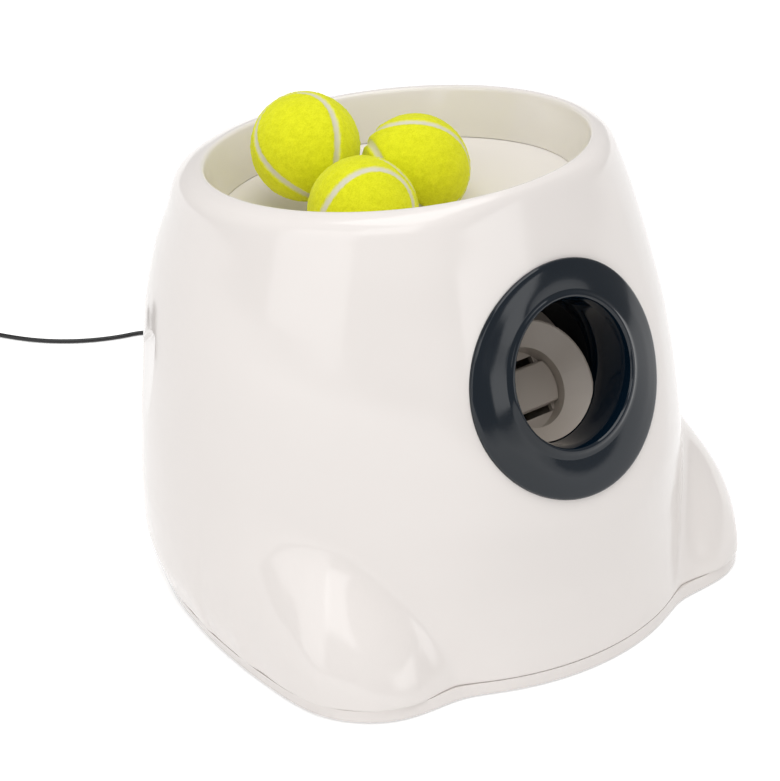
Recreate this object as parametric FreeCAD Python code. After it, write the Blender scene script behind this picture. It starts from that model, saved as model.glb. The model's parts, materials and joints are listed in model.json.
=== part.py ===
import FreeCAD, Part
import math
import os
from FreeCAD import Vector, Placement, Rotation

# Automatic ball launcher for small dogs. Millimetres, +Z up, the launch ring faces -Y.
# Origin: the floor, under the centre of the round base.

# ---- sizes that can be set by themselves -----------------------------------------------------
ball_diameter = 50.0
base_radius = 122.5           # round part, at the parting line
floor_radius = 121.2          # the tray tucks in under it
floor_shift = -6.5
skirt_radius = 125.0          # at skirt_height, over the tuck
skirt_height = 24.0
skirt_shift = 0.5
waist_radius = 123.4
waist_height = 72.0
waist_shift = 4.0             # how far the centre of the round leans back there
chest_radius = 121.0
chest_height = 100.0
chest_shift = 5.3
belly_radius = 117.3
belly_height = 133.0
belly_shift = 8.6
shoulder_radius = 104.8
shoulder_drop = 21.2          # shoulder below the rim, measured on the body's axis
shoulder_shift = 12.0
rim_height = 202.2            # crest of the lip on the axis
rim_radius = 92.0             # crest circle
rim_shift = 15.5
rim_tilt = 8.3                # the lip stands higher in front
bowl_tilt = 9.0               # and the bowl under it leans a little more
bowl_drop = 1.2
lip_outer_radius = 100.0
wall = 2.5                    # all housing mouldings
split_height = 7.0            # parting line between housing and tray
foot_gap = 1.2                # floor to the tray's underside

foot_reach = 25.0             # how far the two front lobes stand out of the round
foot_height = 62.0
foot_angle = 56.0             # from straight ahead
side_tuck = 2.8

launch_tilt = 18.6            # barrel's slope
ring_margin = 21.1            # flange edge outside the bore
ring_forward = 104.1          # ring centre in front of the origin
ring_height = 134.75
mouth_rise = 2.8              # mouth and barrel sit above the flange's middle
front_curve = 300.0           # radius of the gently curved front face
front_fullness = 4.2          # the housing swells under the ring
flange_thickness = 2.2
mouth_roll = 2.2              # the rolled lip's crest outside the bore
mouth_lip = 2.7               # the rolled lip's height over the flange edge
bore_clearance = 6.8          # bore radius over ball radius
tube_wall = 2.2
sleeve_depth = 25.0
barrel_end = 220.0

bowl_wall_drop = 19.0         # lip crest to the funnel's seam
seam_radius = 80.0
seam_gap = 0.35
funnel_slope = 28.5
throat_clearance = 3.5        # throat radius over ball radius

striker_front = 28.0          # striker's face at rest, along the barrel
striker_length = 80.0
striker_stroke = 110.0
striker_gap = 0.4
head_slant = 17.5             # the striker's dished face leans back against the bore
head_depth = 23.6             # its middle behind the ring
head_drop = 6.3               # and under the bore's axis
head_margin = 2.6             # bore radius over the face's outer edge
head_dish = 7.0
head_collar = 12.0
face_hole_radius = 18.3
face_recess = 8.0
face_bar_height = 19.0
face_slot = 3.2

rack_module = 1.25
drive_teeth = 32
missing_teeth = 3
train_module = 1.0
drive_spur_teeth = 44
idler_pinion_teeth = 12
idler_wheel_teeth = 36
motor_pinion_teeth = 10
rack_width = 10.0
spur_width = 5.0
backlash = 0.15               # taken off each tooth at the pitch line
shaft_radius = 2.0
running_gap = 0.05
plate = 2.5                   # gearbox plates
motor_radius = 12.0
motor_length = 32.0

cell_diameter = 26.2
cell_length = 50.0
cells_per_row = 3
cell_rows = 2

clearance = 0.3               # between pieces that don't fit into each other
screw_radius = 1.5
screw_head_radius = 2.8
screw_head = 1.6
button_radius = 7.0
button_travel = 1.5
jack_radius = 4.0
lead_diameter = 2.2

# ---- places worked out from them ---------------------------------------------------------------
ball_radius = ball_diameter / 2
bore_radius = ball_radius + bore_clearance
tube_radius = bore_radius + tube_wall
mouth_radius = bore_radius + mouth_roll
ring_radius = bore_radius + ring_margin
head_radius = bore_radius - head_margin
striker_radius = bore_radius - striker_gap
throat_radius = ball_radius + throat_clearance
rack_pitch = math.pi * rack_module
drive_radius = rack_module * drive_teeth / 2
rack_top = tube_radius + 2.0
rack_root = rack_top + 4.4
rack_line = rack_root + 1.25 * rack_module
drive_depth = striker_front + striker_length + 16.0
tilt = math.radians(launch_tilt)

os.makedirs("parts", exist_ok=True)
UP, AHEAD, SIDE = Vector(0, 0, 1), Vector(0, -1, 0), Vector(1, 0, 0)


def save(name, *solids):
    pieces = [s for item in solids for s in (item.Solids if item.Solids else [item])]
    shape = pieces[0] if len(pieces) == 1 else Part.makeCompound(pieces)
    shape.exportStep("parts/" + name + ".step")
    print(name, len(pieces), round(shape.Volume, 1), shape.isValid())


def barrel_frame(shape):
    """Barrel coordinates (side, depth behind the ring, rise) to the row's frame."""
    shape.Placement = Placement(barrel_point(0.0), Rotation(SIDE, -launch_tilt))
    return shape


def barrel_point(depth, rise=0.0, side=0.0):
    rise += mouth_rise
    return Vector(side,
                  -ring_forward + depth * math.cos(tilt) + rise * math.sin(tilt),
                  ring_height - depth * math.sin(tilt) + rise * math.cos(tilt))


def rim_frame(shape):
    """Bowl coordinates (origin under the lip's crest, Z along the bowl's axis) to the row's frame."""
    shape.Placement = Placement(Vector(0, rim_shift, rim_height - bowl_drop), Rotation(SIDE, -bowl_tilt))
    return shape


def lip_frame(shape):
    """Coordinates of the lip's crest plane to the row's frame."""
    shape.Placement = Placement(Vector(0, rim_shift, rim_height), Rotation(SIDE, -rim_tilt))
    return shape


def tube_y(outer, inner, start, end):
    body = Part.makeCylinder(outer, end - start, Vector(0, start, 0), Vector(0, 1, 0))
    if inner > 0:
        body = body.cut(Part.makeCylinder(inner, end - start + 2, Vector(0, start - 1, 0), Vector(0, 1, 0)))
    return body


def block(x0, x1, y0, y1, z0, z1, corner=0.0):
    box = Part.makeBox(x1 - x0, y1 - y0, z1 - z0, Vector(x0, y0, z0))
    if corner:
        box = box.makeFillet(corner, [e for e in box.Edges if abs(e.tangentAt(0).z) > 0.9])
    return box


def revolved(points):
    """Solid turned about Z from (radius, height) points."""
    corners = [Vector(r, 0, h) for r, h in points]
    face = Part.Face(Part.makePolygon(corners + corners[:1]))
    return face.revolve(Vector(0, 0, 0), UP, 360)


# ---- the housing's form ----------------------------------------------------------------------
def smooth(table, x, column=1):
    """Smooth value at x through rows of (position, value, value...)."""
    if x <= table[0][0]:
        return table[0][column]
    if x >= table[-1][0]:
        return table[-1][column]
    i = max(j for j in range(len(table) - 1) if table[j][0] <= x)
    near, far = table[i], table[i + 1]
    span = far[0] - near[0]
    slope = (far[column] - near[column]) / span
    slopes = []
    for a, b, c in ((i - 1, i, i + 1), (i, i + 1, i + 2)):
        if a < 0 or c >= len(table):
            slopes.append(0.0 if a < 0 else slope)
            continue
        before = (table[b][column] - table[a][column]) / (table[b][0] - table[a][0])
        after = (table[c][column] - table[b][column]) / (table[c][0] - table[b][0])
        turn = before * after
        slopes.append(2 * turn / (before + after) if turn > 0 else 0.0)
    t = (x - near[0]) / span
    return ((2 * t**3 - 3 * t**2 + 1) * near[column] + (t**3 - 2 * t**2 + t) * span * slopes[0]
            + (3 * t**2 - 2 * t**3) * far[column] + (t**3 - t**2) * span * slopes[1])


def profile(height):
    """Radius, centre shift and lean of the round body at a height on its axis."""
    shoulder = rim_height - shoulder_drop
    middle = (belly_height + shoulder) / 2 + 3.0
    knots = [(foot_gap, floor_radius, floor_shift, 0.0),
             (split_height, base_radius, floor_shift * 0.7, 0.0),
             (skirt_height, skirt_radius, skirt_shift, 0.0),
             (waist_height, waist_radius, waist_shift, 0.0),
             (chest_height, chest_radius, chest_shift, 0.0),
             (belly_height, belly_radius, belly_shift, rim_tilt * 0.03),
             (middle, (belly_radius + shoulder_radius) / 2 + 0.2, belly_shift + 2.2, rim_tilt * 0.2),
             (shoulder, shoulder_radius, shoulder_shift, rim_tilt * 0.49),
             (rim_height - 6.5, lip_outer_radius, (rim_shift + shoulder_shift) / 2 + 0.6, rim_tilt * 0.82),
             (rim_height - 2.2, lip_outer_radius - 2.1, rim_shift - 0.4, rim_tilt * 0.95),
             (rim_height, rim_radius + 0.5, rim_shift, rim_tilt)]
    return tuple(smooth(knots, height, column) for column in (1, 2, 3))


def soft_less(a, b, blend):
    h = max(blend - abs(a - b), 0.0) / blend
    return min(a, b) - h * h * blend / 4


def lobe(angle, height):
    """How far a front foot lobe stands out, by degrees from straight ahead and height."""
    off = angle - foot_angle
    reach = foot_reach * smooth([(-28, 0.0), (-23, 0.04), (-20, 0.19), (-13, 0.73), (-6, 0.965), (1, 0.99),
                                 (10, 0.69), (17, 0.40), (22, 0.28), (26, 0.16), (34, 0.0)], off)
    top = foot_height * smooth([(-27, 0.18), (-20, 0.42), (-9, 0.77), (0, 0.95), (12, 1.0), (21, 1.03), (37, 0.98),
                                (56, 0.92)], off)
    bump = reach * (1 - (height / top) ** 3.3)
    return -soft_less(-bump, 0.0, min(5.0, 0.35 * reach + 0.01))


def tuck(angle, height):
    """The round is drawn in a little beside the feet, low down."""
    return side_tuck * smooth([(90, 0.0), (102, 1.0), (116, 0.9), (132, 0.0)], angle) * smooth(
        [(10, 1.0), (30, 0.5), (50, 0.0)], height)


def fullness(degrees, height):
    """The swell under the ring, ahead of the round."""
    return front_fullness * smooth([(20, 1.0), (36, 0.5), (52, 0.0)], degrees) * smooth(
        [(40, 0.0), (62, 0.45), (84, 1.0), (110, 1.0), (136, 0.85), (168, 0.0)], height)


def body_radius(angle, height, inset=0.0):
    """Polar radius of the housing in its leaning section; angle in radians from straight ahead."""
    radius, shift, leaning = profile(height)
    leaning = math.radians(leaning)
    ahead = math.cos(angle)
    result = radius
    degrees = abs(math.degrees(math.atan2(math.sin(angle), math.cos(angle))))
    # gently curved front face that carries the ring
    reach = (math.cos(tilt) * (shift + ring_forward) - math.sin(tilt) * (height - ring_height))
    a = math.sin(angle) ** 2 / (2 * front_curve)
    b = ahead * math.cos(tilt - leaning)
    if ahead > 0.05:
        face = (-b + math.sqrt(b * b + 4 * a * reach)) / (2 * a) if a > 1e-9 else reach / b
        result = soft_less(radius + fullness(degrees, height), face, 6.0)
    if height < foot_height * 1.3:
        result += lobe(degrees, height) - tuck(degrees, height)
    return result - inset


outline_count = 60
outline_swell = 6 / (4 + 2 * math.cos(2 * math.pi / outline_count))   # control points stand outside their curve


def outline(height, inset):
    """Control points of the housing's smooth outline at a height."""
    radius, shift, leaning = profile(height)
    leaning = math.radians(leaning)
    points = []
    for i in range(outline_count):
        angle = 2 * math.pi * (i + 0.5) / outline_count
        r = body_radius(angle, height, inset) * outline_swell
        ahead = r * math.cos(angle)
        points.append(Vector(r * math.sin(angle), shift - ahead * math.cos(leaning), height + ahead * math.sin(leaning)))
    return points


def smooth_form(rows):
    """Closed solid inside a smooth surface; each row is a flat ring of control points."""
    degree = min(3, len(rows) - 1)
    inner = len(rows) - degree - 1
    surface = Part.BSplineSurface()
    surface.buildFromPolesMultsKnots([list(column) for column in zip(*rows)],
                                     [1] * (outline_count + 1), [degree + 1] + [1] * inner + [degree + 1],
                                     list(range(outline_count + 1)), list(range(inner + 2)), True, False, 3, degree)
    ends = [Part.Face(Part.Wire(surface.vIso(v).toShape())) for v in (0, inner + 1)]
    shell = Part.makeShell([surface.toShape()] + ends)
    shell.sewShape()
    solid = Part.makeSolid(shell)
    if solid.Volume < 0:
        solid.reverse()
    return solid


def form_heights(low, high):
    f = foot_height
    heights = [0.22 * f, 0.38 * f, 0.54 * f, 0.68 * f, 0.8 * f, 0.9 * f, f, 1.12 * f, 1.3 * f, chest_height + 4]
    shoulder = rim_height - shoulder_drop
    gap = shoulder - heights[-1]
    heights += [heights[-1] + gap * t for t in (0.25, 0.5, 0.75)]
    heights += [shoulder, rim_height - 12.0, rim_height - 7.0, rim_height - 3.5, rim_height - 1.2, rim_height - 0.2]
    return [low] + [h for h in heights if low + 3 < h < high - 0.15] + [high]


def body_form(inset=0.0, bottom=None, top_drop=0.0):
    low = split_height if bottom is None else bottom
    return smooth_form([outline(h, inset) for h in form_heights(low, rim_height - top_drop)])


# ---- housing -----------------------------------------------------------------------------------
boss_angles = (52.0, -52.0, 97.0, -97.0, 143.0, -143.0)
boss_radius = 4.5
boss_foot = split_height + 2.0
panel_width, panel_height = 82.0, 30.0
panel_middle = 122.0
panel_depth = 9.0             # panel face below the housing's outermost line
grip_angle, grip_top, grip_depth = 120.0, 131.0, 3.8
grip_fall = 7.7               # degrees that a grip's floor leans out downwards
grip_rear = (-12.3, 45.0)     # its slanting rear edge, from its top end to its low end
grip_rear_drop = 36.7
frame_wall = 2.5


def boss_place(degrees):
    a = math.radians(degrees)
    reach = body_radius(a, split_height) - wall - boss_radius - 1.5
    if abs(degrees) < 90:
        reach = base_radius
    return Vector(reach * math.sin(a), profile(split_height)[1] - reach * math.cos(a), 0)


def panel_face():
    radius, shift, _ = profile(panel_middle)
    return shift + radius - panel_depth


def grip_block(extra):
    """Flat-floored scoop for the fingers: a step above it and behind it, run out ahead and below."""
    radius, shift, _ = profile(grip_top)
    high, low = grip_rear
    run = math.hypot(low - high, grip_rear_drop)
    out = (extra * grip_rear_drop / run, extra * (low - high) / run)
    points = [(-70, extra), (high + 0.3 * extra, extra), (low + out[0], out[1] - grip_rear_drop), (low, -70), (-70, -70)]
    wire = Part.makePolygon([Vector(x, 0, z) for x, z in points + points[:1]])
    solid = Part.Face(wire).extrude(Vector(0, 40, 0))
    solid.rotate(Vector(0, 0, 0), SIDE, grip_fall)
    solid.translate(Vector(0, radius - grip_depth - extra, grip_top))
    solid.rotate(Vector(0, 0, 0), UP, 180.0 - grip_angle)
    solid.translate(Vector(0, shift, 0))
    return solid


def mirrored(shape):
    return shape.mirror(Vector(0, 0, 0), SIDE)


def rings(frame, *places):
    """Circles about a frame's axis from (radius, height) points."""
    return [Part.Wire(frame(Part.makeCircle(r, Vector(0, 0, h))).Edges) for r, h in places]


def bowl_cut():
    """The bowl's own space: rolled lip, steep wall down to the seam and past it."""
    r = rim_radius + 0.01
    above = rings(lip_frame, (r, 14), (r, 0))
    roll = rings(lip_frame, (r, 0), (r - 1.8, -0.35), (r - 3.2, -1.4), (r - 4.2, -3.0), (r - 4.6, -5.0))
    seam = rings(rim_frame, (seam_radius, -bowl_wall_drop), (seam_radius, -bowl_wall_drop - 8))
    solids = [Part.makeLoft(above, True, True), Part.makeLoft(roll, True, False),
              Part.makeLoft([roll[-1], seam[0]], True, True), Part.makeLoft(seam, True, True)]
    return solids[0].fuse(solids[1:])


def bowl_backing():
    """Everything that the bowl's wall takes out of the housing's hollow."""
    return rim_frame(revolved([(0, -bowl_wall_drop), (seam_radius + wall, -bowl_wall_drop),
                               (rim_radius - 2.0, -6.0), (rim_radius + 14, -2.6), (rim_radius + 14, 14), (0, 14)]))


def make_body_shell(form):
    hollow = body_form(wall, split_height - 1.0, 3.0).cut(bowl_backing())
    shell = form.cut(hollow).cut(bowl_cut())
    core = body_form(0.8)
    face = panel_face()
    w, h = panel_width / 2, panel_height / 2
    for boss in (boss_place(a) for a in boss_angles):
        pillar = Part.makeCylinder(boss_radius, foot_height - boss_foot, boss + Vector(0, 0, boss_foot))
        hole = Part.makeCylinder(screw_radius + running_gap, 18.0, boss + Vector(0, 0, boss_foot - 1))
        rib = Part.makeBox(16.0, 2.4, foot_height - boss_foot - 3.0, Vector(0, -1.2, boss_foot + 3.0))
        rib.rotate(Vector(0, 0, 0), UP, math.degrees(math.atan2(boss.y - profile(split_height)[1], boss.x)))
        rib.translate(boss)
        shell = shell.fuse(pillar.fuse(rib).common(core)).cut(hole)
    frame = block(-w - frame_wall, w + frame_wall, face - wall - 2.1, face + 30,
                  panel_middle - h - frame_wall, panel_middle + h + frame_wall)
    window = block(-w, w, face - wall, face + 40, panel_middle - h, panel_middle + h)
    ledge = block(-w + 2, w - 2, face - 20, face + 40, panel_middle - h + 2, panel_middle + h - 2)
    shell = shell.fuse(frame.common(core)).cut(window).cut(ledge)
    for turn in (lambda s: s, mirrored):
        shell = shell.fuse(turn(grip_block(wall)).common(core)).cut(turn(grip_block(0.0)))
    sleeve_hole = barrel_frame(tube_y(tube_radius + clearance, 0, -30, 40))
    return shell.cut(sleeve_hole)


def tray_form(inset, low, high):
    """The housing's form carried on below the parting line."""
    return smooth_form([outline(z, inset) for z in (low, (low + high) / 2, high)])


tongue_gap = 0.9              # tray's tongue to the housing's wall


battery_half_width = cells_per_row * cell_length / 2 + 2.5
box_wall = 1.5
row_pitch = cell_diameter + 1.8
rear_row = -50.0
cell_rows_y = [rear_row - i * row_pitch for i in range(cell_rows)]
box_front = cell_rows_y[-1] - cell_diameter / 2 - 0.5 - box_wall
box_back = cell_rows_y[0] + cell_diameter / 2 + 0.5 + box_wall
floor_top = foot_gap + wall
door_margin = 1.2
foot_places = [(92.0, -64.0), (-92.0, -64.0), (66.0, 76.0), (-66.0, 76.0)]
pad_radius = 8.0
pad_sink = 1.0
screw_seat = floor_top + 0.8


def door_block(extra, low, high):
    w = battery_half_width + box_wall + door_margin + extra
    return block(-w, w, box_front - door_margin - extra, box_back + door_margin + extra, low, high, 4.0)


def make_base_tray():
    tray = tray_form(0.3, foot_gap, split_height - 0.35)
    tray = tray.cut(tray_form(wall + tongue_gap + 0.8, floor_top, split_height + 1))
    tongue = tray_form(wall + tongue_gap, floor_top - 0.5, split_height + 3.0)
    tongue = tongue.cut(tray_form(wall + tongue_gap + 1.6, floor_top - 1, split_height + 3.1))
    for boss in (boss_place(a) for a in boss_angles):
        tongue = tongue.cut(Part.makeCylinder(boss_radius + clearance, 20, boss + Vector(0, 0, boss_foot - clearance)))
    tray = tray.fuse(tongue)
    for boss in (boss_place(a) for a in boss_angles):
        pillar = Part.makeCylinder(boss_radius + 1.2, boss_foot - clearance - floor_top + 0.5,
                                   boss + Vector(0, 0, floor_top - 0.5))
        tray = tray.fuse(pillar)
        tray = tray.cut(Part.makeCylinder(screw_radius + 0.2, 30, boss))
        tray = tray.cut(Part.makeCylinder(screw_head_radius + 0.3, screw_seat, boss))
    for x, y in foot_places:
        tray = tray.cut(Part.makeCylinder(pad_radius + 0.1, foot_gap + pad_sink, Vector(x, y, 0)))
    tray = tray.cut(door_block(clearance, foot_gap - 1, floor_top + 1))
    return tray


def make_hopper_funnel():
    top = -bowl_wall_drop - seam_gap
    slope = math.tan(math.radians(funnel_slope))
    drop = (seam_radius - throat_radius) * slope
    bottom = top - drop
    low = bottom - 40
    outer = seam_radius + wall
    points = [(seam_radius + 0.01, top), (throat_radius + 3, bottom + 3 * slope + 0.6), (throat_radius, bottom - 2.0),
              (throat_radius, low), (throat_radius + wall, low), (throat_radius + wall, bottom - 3.2),
              (throat_radius + 5, bottom + 3 * slope - 2.6), (outer, top - wall - 0.2),
              (outer + 2.6, top - wall + 0.6), (outer + 5.4, top + 6.0), (outer + 3.4, top + 6.0), (outer + 0.5, top)]
    funnel = rim_frame(revolved(points))
    return funnel.cut(barrel_frame(tube_y(tube_radius + clearance, 0, 0, 400)))


# ---- launch ring -------------------------------------------------------------------------------
def outside(point, inset=0.0):
    """Signed distance, measured along a section's radius, of a point from the housing."""
    height = point.z
    for _ in range(12):
        _, shift, leaning = profile(height)
        ahead = (shift - point.y) / math.cos(math.radians(leaning))
        height = point.z - ahead * math.sin(math.radians(leaning))
    _, shift, leaning = profile(height)
    ahead = (shift - point.y) / math.cos(math.radians(leaning))
    return math.hypot(point.x, ahead) - body_radius(math.atan2(point.x, ahead), height, inset)


def face_depth(side, rise):
    """Depth of the housing's front face behind the ring's plane."""
    near, far = -25.0, 45.0
    for _ in range(34):
        middle = (near + far) / 2
        if outside(barrel_point(middle, rise, side)) > 0:
            near = middle
        else:
            far = middle
    return (near + far) / 2


def ring_curve(radius, offset, share, low=None, count=24):
    """Closed curve round the barrel's axis; share blends from a flat circle to the curved face,
    low from the barrel's axis to the flange's middle."""
    low = share if low is None else low
    points = []
    for i in range(count):
        a = 2 * math.pi * i / count
        x, z = radius * math.cos(a), radius * math.sin(a) - mouth_rise * low
        depth = share * face_depth(x, z) - offset if share else -offset
        points.append(Vector(x, depth, z))
    curve = Part.BSplineCurve()
    curve.interpolate(Points=points, Parameters=[float(i) for i in range(count + 1)], PeriodicFlag=True)
    return Part.Wire(curve.toShape())


def skin(*groups):
    """Closed solid from lofted bands; each group is a smooth run of curves."""
    faces = []
    for group in groups:
        if len(group) == 2:
            faces += Part.makeRuledSurface(group[0].Edges[0], group[1].Edges[0]).Faces
        else:
            faces += Part.makeLoft(list(group), False, False).Faces
    shell = Part.makeShell(faces)
    shell.sewShape()
    solid = Part.makeSolid(shell)
    if solid.Volume < 0:
        solid.reverse()
    return solid


def make_launch_ring():
    seat = -1.4
    sleeve = bore_radius - 0.1
    t = flange_thickness
    edge = ring_curve(ring_radius, seat, 1.0)
    shoulder = ring_curve(ring_radius - 0.5, t - 0.4, 1.0)
    crown = ring_curve(ring_radius - 1.6, t, 1.0)
    front = [crown, ring_curve(ring_radius - 7, t + 0.1, 0.85), ring_curve(mouth_radius + 5.5, t - 0.1, 0.5),
             ring_curve(mouth_radius + 2.0, mouth_lip - 0.9, 0.08)]
    lip = [front[-1], ring_curve(mouth_radius + 0.9, mouth_lip - 0.1, 0.0), ring_curve(mouth_radius, mouth_lip + 0.2, 0.0),
           ring_curve(sleeve + 1.3, mouth_lip - 1.6, 0.0), ring_curve(sleeve, -3.0, 0.0)]
    end_in = ring_curve(sleeve, -sleeve_depth, 0.0)
    end_out = ring_curve(tube_radius, -sleeve_depth, 0.0)
    root = ring_curve(tube_radius, seat, 1.0, 0.0)
    ring = skin([edge, shoulder, crown], front, lip, [lip[-1], end_in], [end_in, end_out], [end_out, root], [root, edge])
    seat_form = body_form(-0.15).cut(barrel_frame(tube_y(tube_radius + clearance, 0, -30, 40)))
    return barrel_frame(ring).cut(seat_form)


# ---- barrel and striker ------------------------------------------------------------------------
lug_start = striker_front + striker_length - 9.0
lug_length = 7.0
lug_reach = tube_radius + 7.0
slot_end = lug_start + lug_length + striker_stroke + 0.8
cap_start = slot_end + 0.4
slot_half = 3.8
spring_side = tube_radius + 4.6


def ball_place(seat):
    tip = -bowl_wall_drop - seam_gap - seam_radius * math.tan(math.radians(funnel_slope))
    lean = math.radians(bowl_tilt)
    cone_tip = Vector(0, rim_shift + tip * math.sin(lean), rim_height - bowl_drop + tip * math.cos(lean))
    return cone_tip + Vector(*seat) * (ball_radius / 25)


def make_barrel_tube():
    tube = tube_y(tube_radius, bore_radius, sleeve_depth + clearance, barrel_end)
    slot = block(-slot_half, slot_half, striker_front + 1, barrel_end + 5, -tube_radius - 5, -10)
    sides = block(-tube_radius - 5, tube_radius + 5, lug_start - 3.0, slot_end, -3.0, 3.0)
    tube = barrel_frame(tube.cut(slot).cut(sides))
    feed = rim_frame(Part.makeCylinder(throat_radius, 120, Vector(0, 0, -150)))
    upper = barrel_frame(block(-60, 60, 0, 300, 0, 80))
    return tube.cut(feed.common(upper))


def make_barrel_rear_cap():
    cap = tube_y(tube_radius + 3.0, 0, cap_start, barrel_end + 2.5)
    cap = cap.cut(tube_y(tube_radius + clearance, 0, barrel_end - 12, barrel_end))
    cap = cap.cut(tube_y(12.0, 0, barrel_end - 12, barrel_end + 12))
    path = block(-rack_width / 2 - 1, rack_width / 2 + 1, barrel_end - 12, barrel_end + 12, -60, -tube_radius + 8)
    return barrel_frame(cap.cut(path))


def turned(points):
    corners = [Vector(r, d, 0) for r, d in points]
    face = Part.Face(Part.makePolygon(corners + corners[:1]))
    return face.revolve(Vector(0, 0, 0), Vector(0, 1, 0), 360)


def head_frame(shape):
    """Coordinates of the striker's leaning face to barrel coordinates."""
    shape.Placement = Placement(Vector(0, head_depth, -head_drop), Rotation(SIDE, -head_slant))
    return shape


def before_head(depth):
    """All the space ahead of a plane that is parallel to the striker's face."""
    return head_frame(block(-60, 60, depth - 90, depth, -60, 60))


def make_striker_cup():
    a, b = striker_front, striker_front + striker_length
    floor, hole = head_dish + face_recess, face_hole_radius
    inner = striker_radius - tube_wall
    cup = tube_y(striker_radius, 0, 0, b).cut(before_head(0.0))
    cup = cup.cut(head_frame(tube_y(90, head_radius, -5, head_collar)))
    cup = cup.cut(head_frame(turned([(0, -2), (head_radius - 0.8, -2), (head_radius - 0.8, 0), (hole, head_dish),
                                     (hole, floor), (0, floor)])))
    behind = tube_y(inner, 0, 0, b + 1).cut(before_head(head_collar + wall))
    behind = behind.cut(head_frame(tube_y(hole + wall, 0, -5, floor + wall)))
    groove = head_frame(turned([(hole + wall, head_dish + 0.9), (head_radius - wall, 3.8),
                                (head_radius - wall, head_collar + wall + 0.1),
                                (hole + wall, head_collar + wall + 0.1)]))
    cup = cup.cut(behind).cut(groove.common(tube_y(inner, 0, 0, b)))
    bar = face_bar_height / 2
    for side in (-1, 1):
        z0, z1 = sorted((side * (bar + 0.4), side * (bar + 0.4 + face_slot)))
        cup = cup.cut(head_frame(block(-13.0, 13.0, floor - 1, floor + 9, z0, z1)))
        x0, x1 = sorted((side * (striker_radius - 1.0), side * lug_reach))
        lug = block(x0, x1, lug_start, lug_start + lug_length, -2.4, 2.4)
        cup = cup.fuse(lug)
    web = block(-3.4, 3.4, a + 4, b - 4, -rack_top, -striker_radius + 1.0)
    return barrel_frame(cup.fuse(web))


def make_striker_bar():
    floor = head_dish + face_recess
    bar = block(-20.0, 20.0, floor - 3.4, floor, -face_bar_height / 2, face_bar_height / 2)
    bar = bar.makeFillet(1.0, [e for e in bar.Edges if e.CenterOfMass.y < floor - 3.3])
    return barrel_frame(head_frame(bar).common(head_frame(tube_y(face_hole_radius - 0.5, 0, 0, 100))))


def make_striker_rack():
    start = drive_depth - striker_stroke - 1.2 * rack_pitch
    end = drive_depth + 1.2 * rack_pitch
    flank = math.tan(math.radians(20)) * rack_module
    half = rack_pitch / 4 - backlash / 2
    points = [(start, -rack_top), (start, -rack_root)]
    place = drive_depth + rack_pitch / 2
    while place > start + rack_pitch:
        place -= rack_pitch
    if place - half - 1.25 * flank < start + 0.3:
        place += rack_pitch
    while place + half + 1.25 * flank < end - 0.3:
        points += [(place - half - 1.25 * flank, -rack_root), (place - half + flank, -rack_line - rack_module),
                   (place + half - flank, -rack_line - rack_module), (place + half + 1.25 * flank, -rack_root)]
        place += rack_pitch
    points += [(end, -rack_root), (end, -rack_top)]
    wire = Part.makePolygon([Vector(-rack_width / 2, d, r) for d, r in points + points[:1]])
    return barrel_frame(Part.Face(wire).extrude(Vector(rack_width, 0, 0)))


# ---- gear train --------------------------------------------------------------------------------
drive_centre = barrel_point(drive_depth, -rack_line - drive_radius - running_gap)
mesh_up = math.radians(90 - launch_tilt)
idler_way, motor_way = math.radians(-10.0), math.radians(0.0)
train_gap = 0.08


def beyond(centre, angle, reach):
    return centre + Vector(0, reach * math.cos(angle), reach * math.sin(angle))


idler_reach = train_module * (drive_spur_teeth + idler_pinion_teeth) / 2 + train_gap
motor_reach = train_module * (idler_wheel_teeth + motor_pinion_teeth) / 2 + train_gap
idler_centre = beyond(drive_centre, idler_way, idler_reach)
motor_centre = beyond(idler_centre, motor_way, motor_reach)


def meshing(angle_a, radius_a, way, radius_b, teeth_b):
    """Angle of a tooth of b so that b meshes with a; way points from a to b."""
    offset = (angle_a - way) * radius_a
    return way + math.pi - offset / radius_b + math.pi / teeth_b


def gear_disc(centre, x0, x1, teeth, module, first, skip=()):
    """Spur gear about X; first is the angle of tooth 0 from +Y towards +Z, teeth run backwards."""
    pitch = module * teeth / 2
    root, tip = pitch - 1.25 * module, pitch + module
    base = pitch * math.cos(math.radians(20))

    def involute(radius):
        if radius <= base:
            return 0.0
        t = math.sqrt((radius / base) ** 2 - 1)
        return t - math.atan(t)

    half = math.pi / (2 * teeth) - backlash / (2 * pitch) + involute(pitch)
    radii = [root, max(root + 0.01, base), pitch, tip]
    points = []
    for k in range(teeth):
        middle = first + 2 * math.pi * k / teeth
        if (teeth - k) % teeth in skip:
            for s in (-0.5, 0.0):
                a = middle + s * 2 * math.pi / teeth
                points.append((root * math.cos(a), root * math.sin(a)))
            continue
        for r in radii:
            a = middle - half + involute(r)
            points.append((r * math.cos(a), r * math.sin(a)))
        for r in reversed(radii):
            a = middle + half - involute(r)
            points.append((r * math.cos(a), r * math.sin(a)))
    wire = Part.makePolygon([Vector(x0, centre.y + y, centre.z + z) for y, z in points + points[:1]])
    return Part.Face(wire).extrude(Vector(x1 - x0, 0, 0))


def cyl_x(radius, centre, x0, x1):
    return Part.makeCylinder(radius, x1 - x0, Vector(x0, centre.y, centre.z), SIDE)


rack_half = rack_width / 2
spur_x = rack_half + 1.5
idler_x = spur_x + spur_width + 1.5
left_plate_x = -rack_half - 3.0 - plate
right_plate_x = idler_x + spur_width + 2.5
spur_first = mesh_up
idler_first = meshing(spur_first, train_module * drive_spur_teeth / 2, idler_way,
                      train_module * idler_pinion_teeth / 2, idler_pinion_teeth)
motor_first = meshing(idler_first, train_module * idler_wheel_teeth / 2, motor_way,
                      train_module * motor_pinion_teeth / 2, motor_pinion_teeth)


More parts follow.
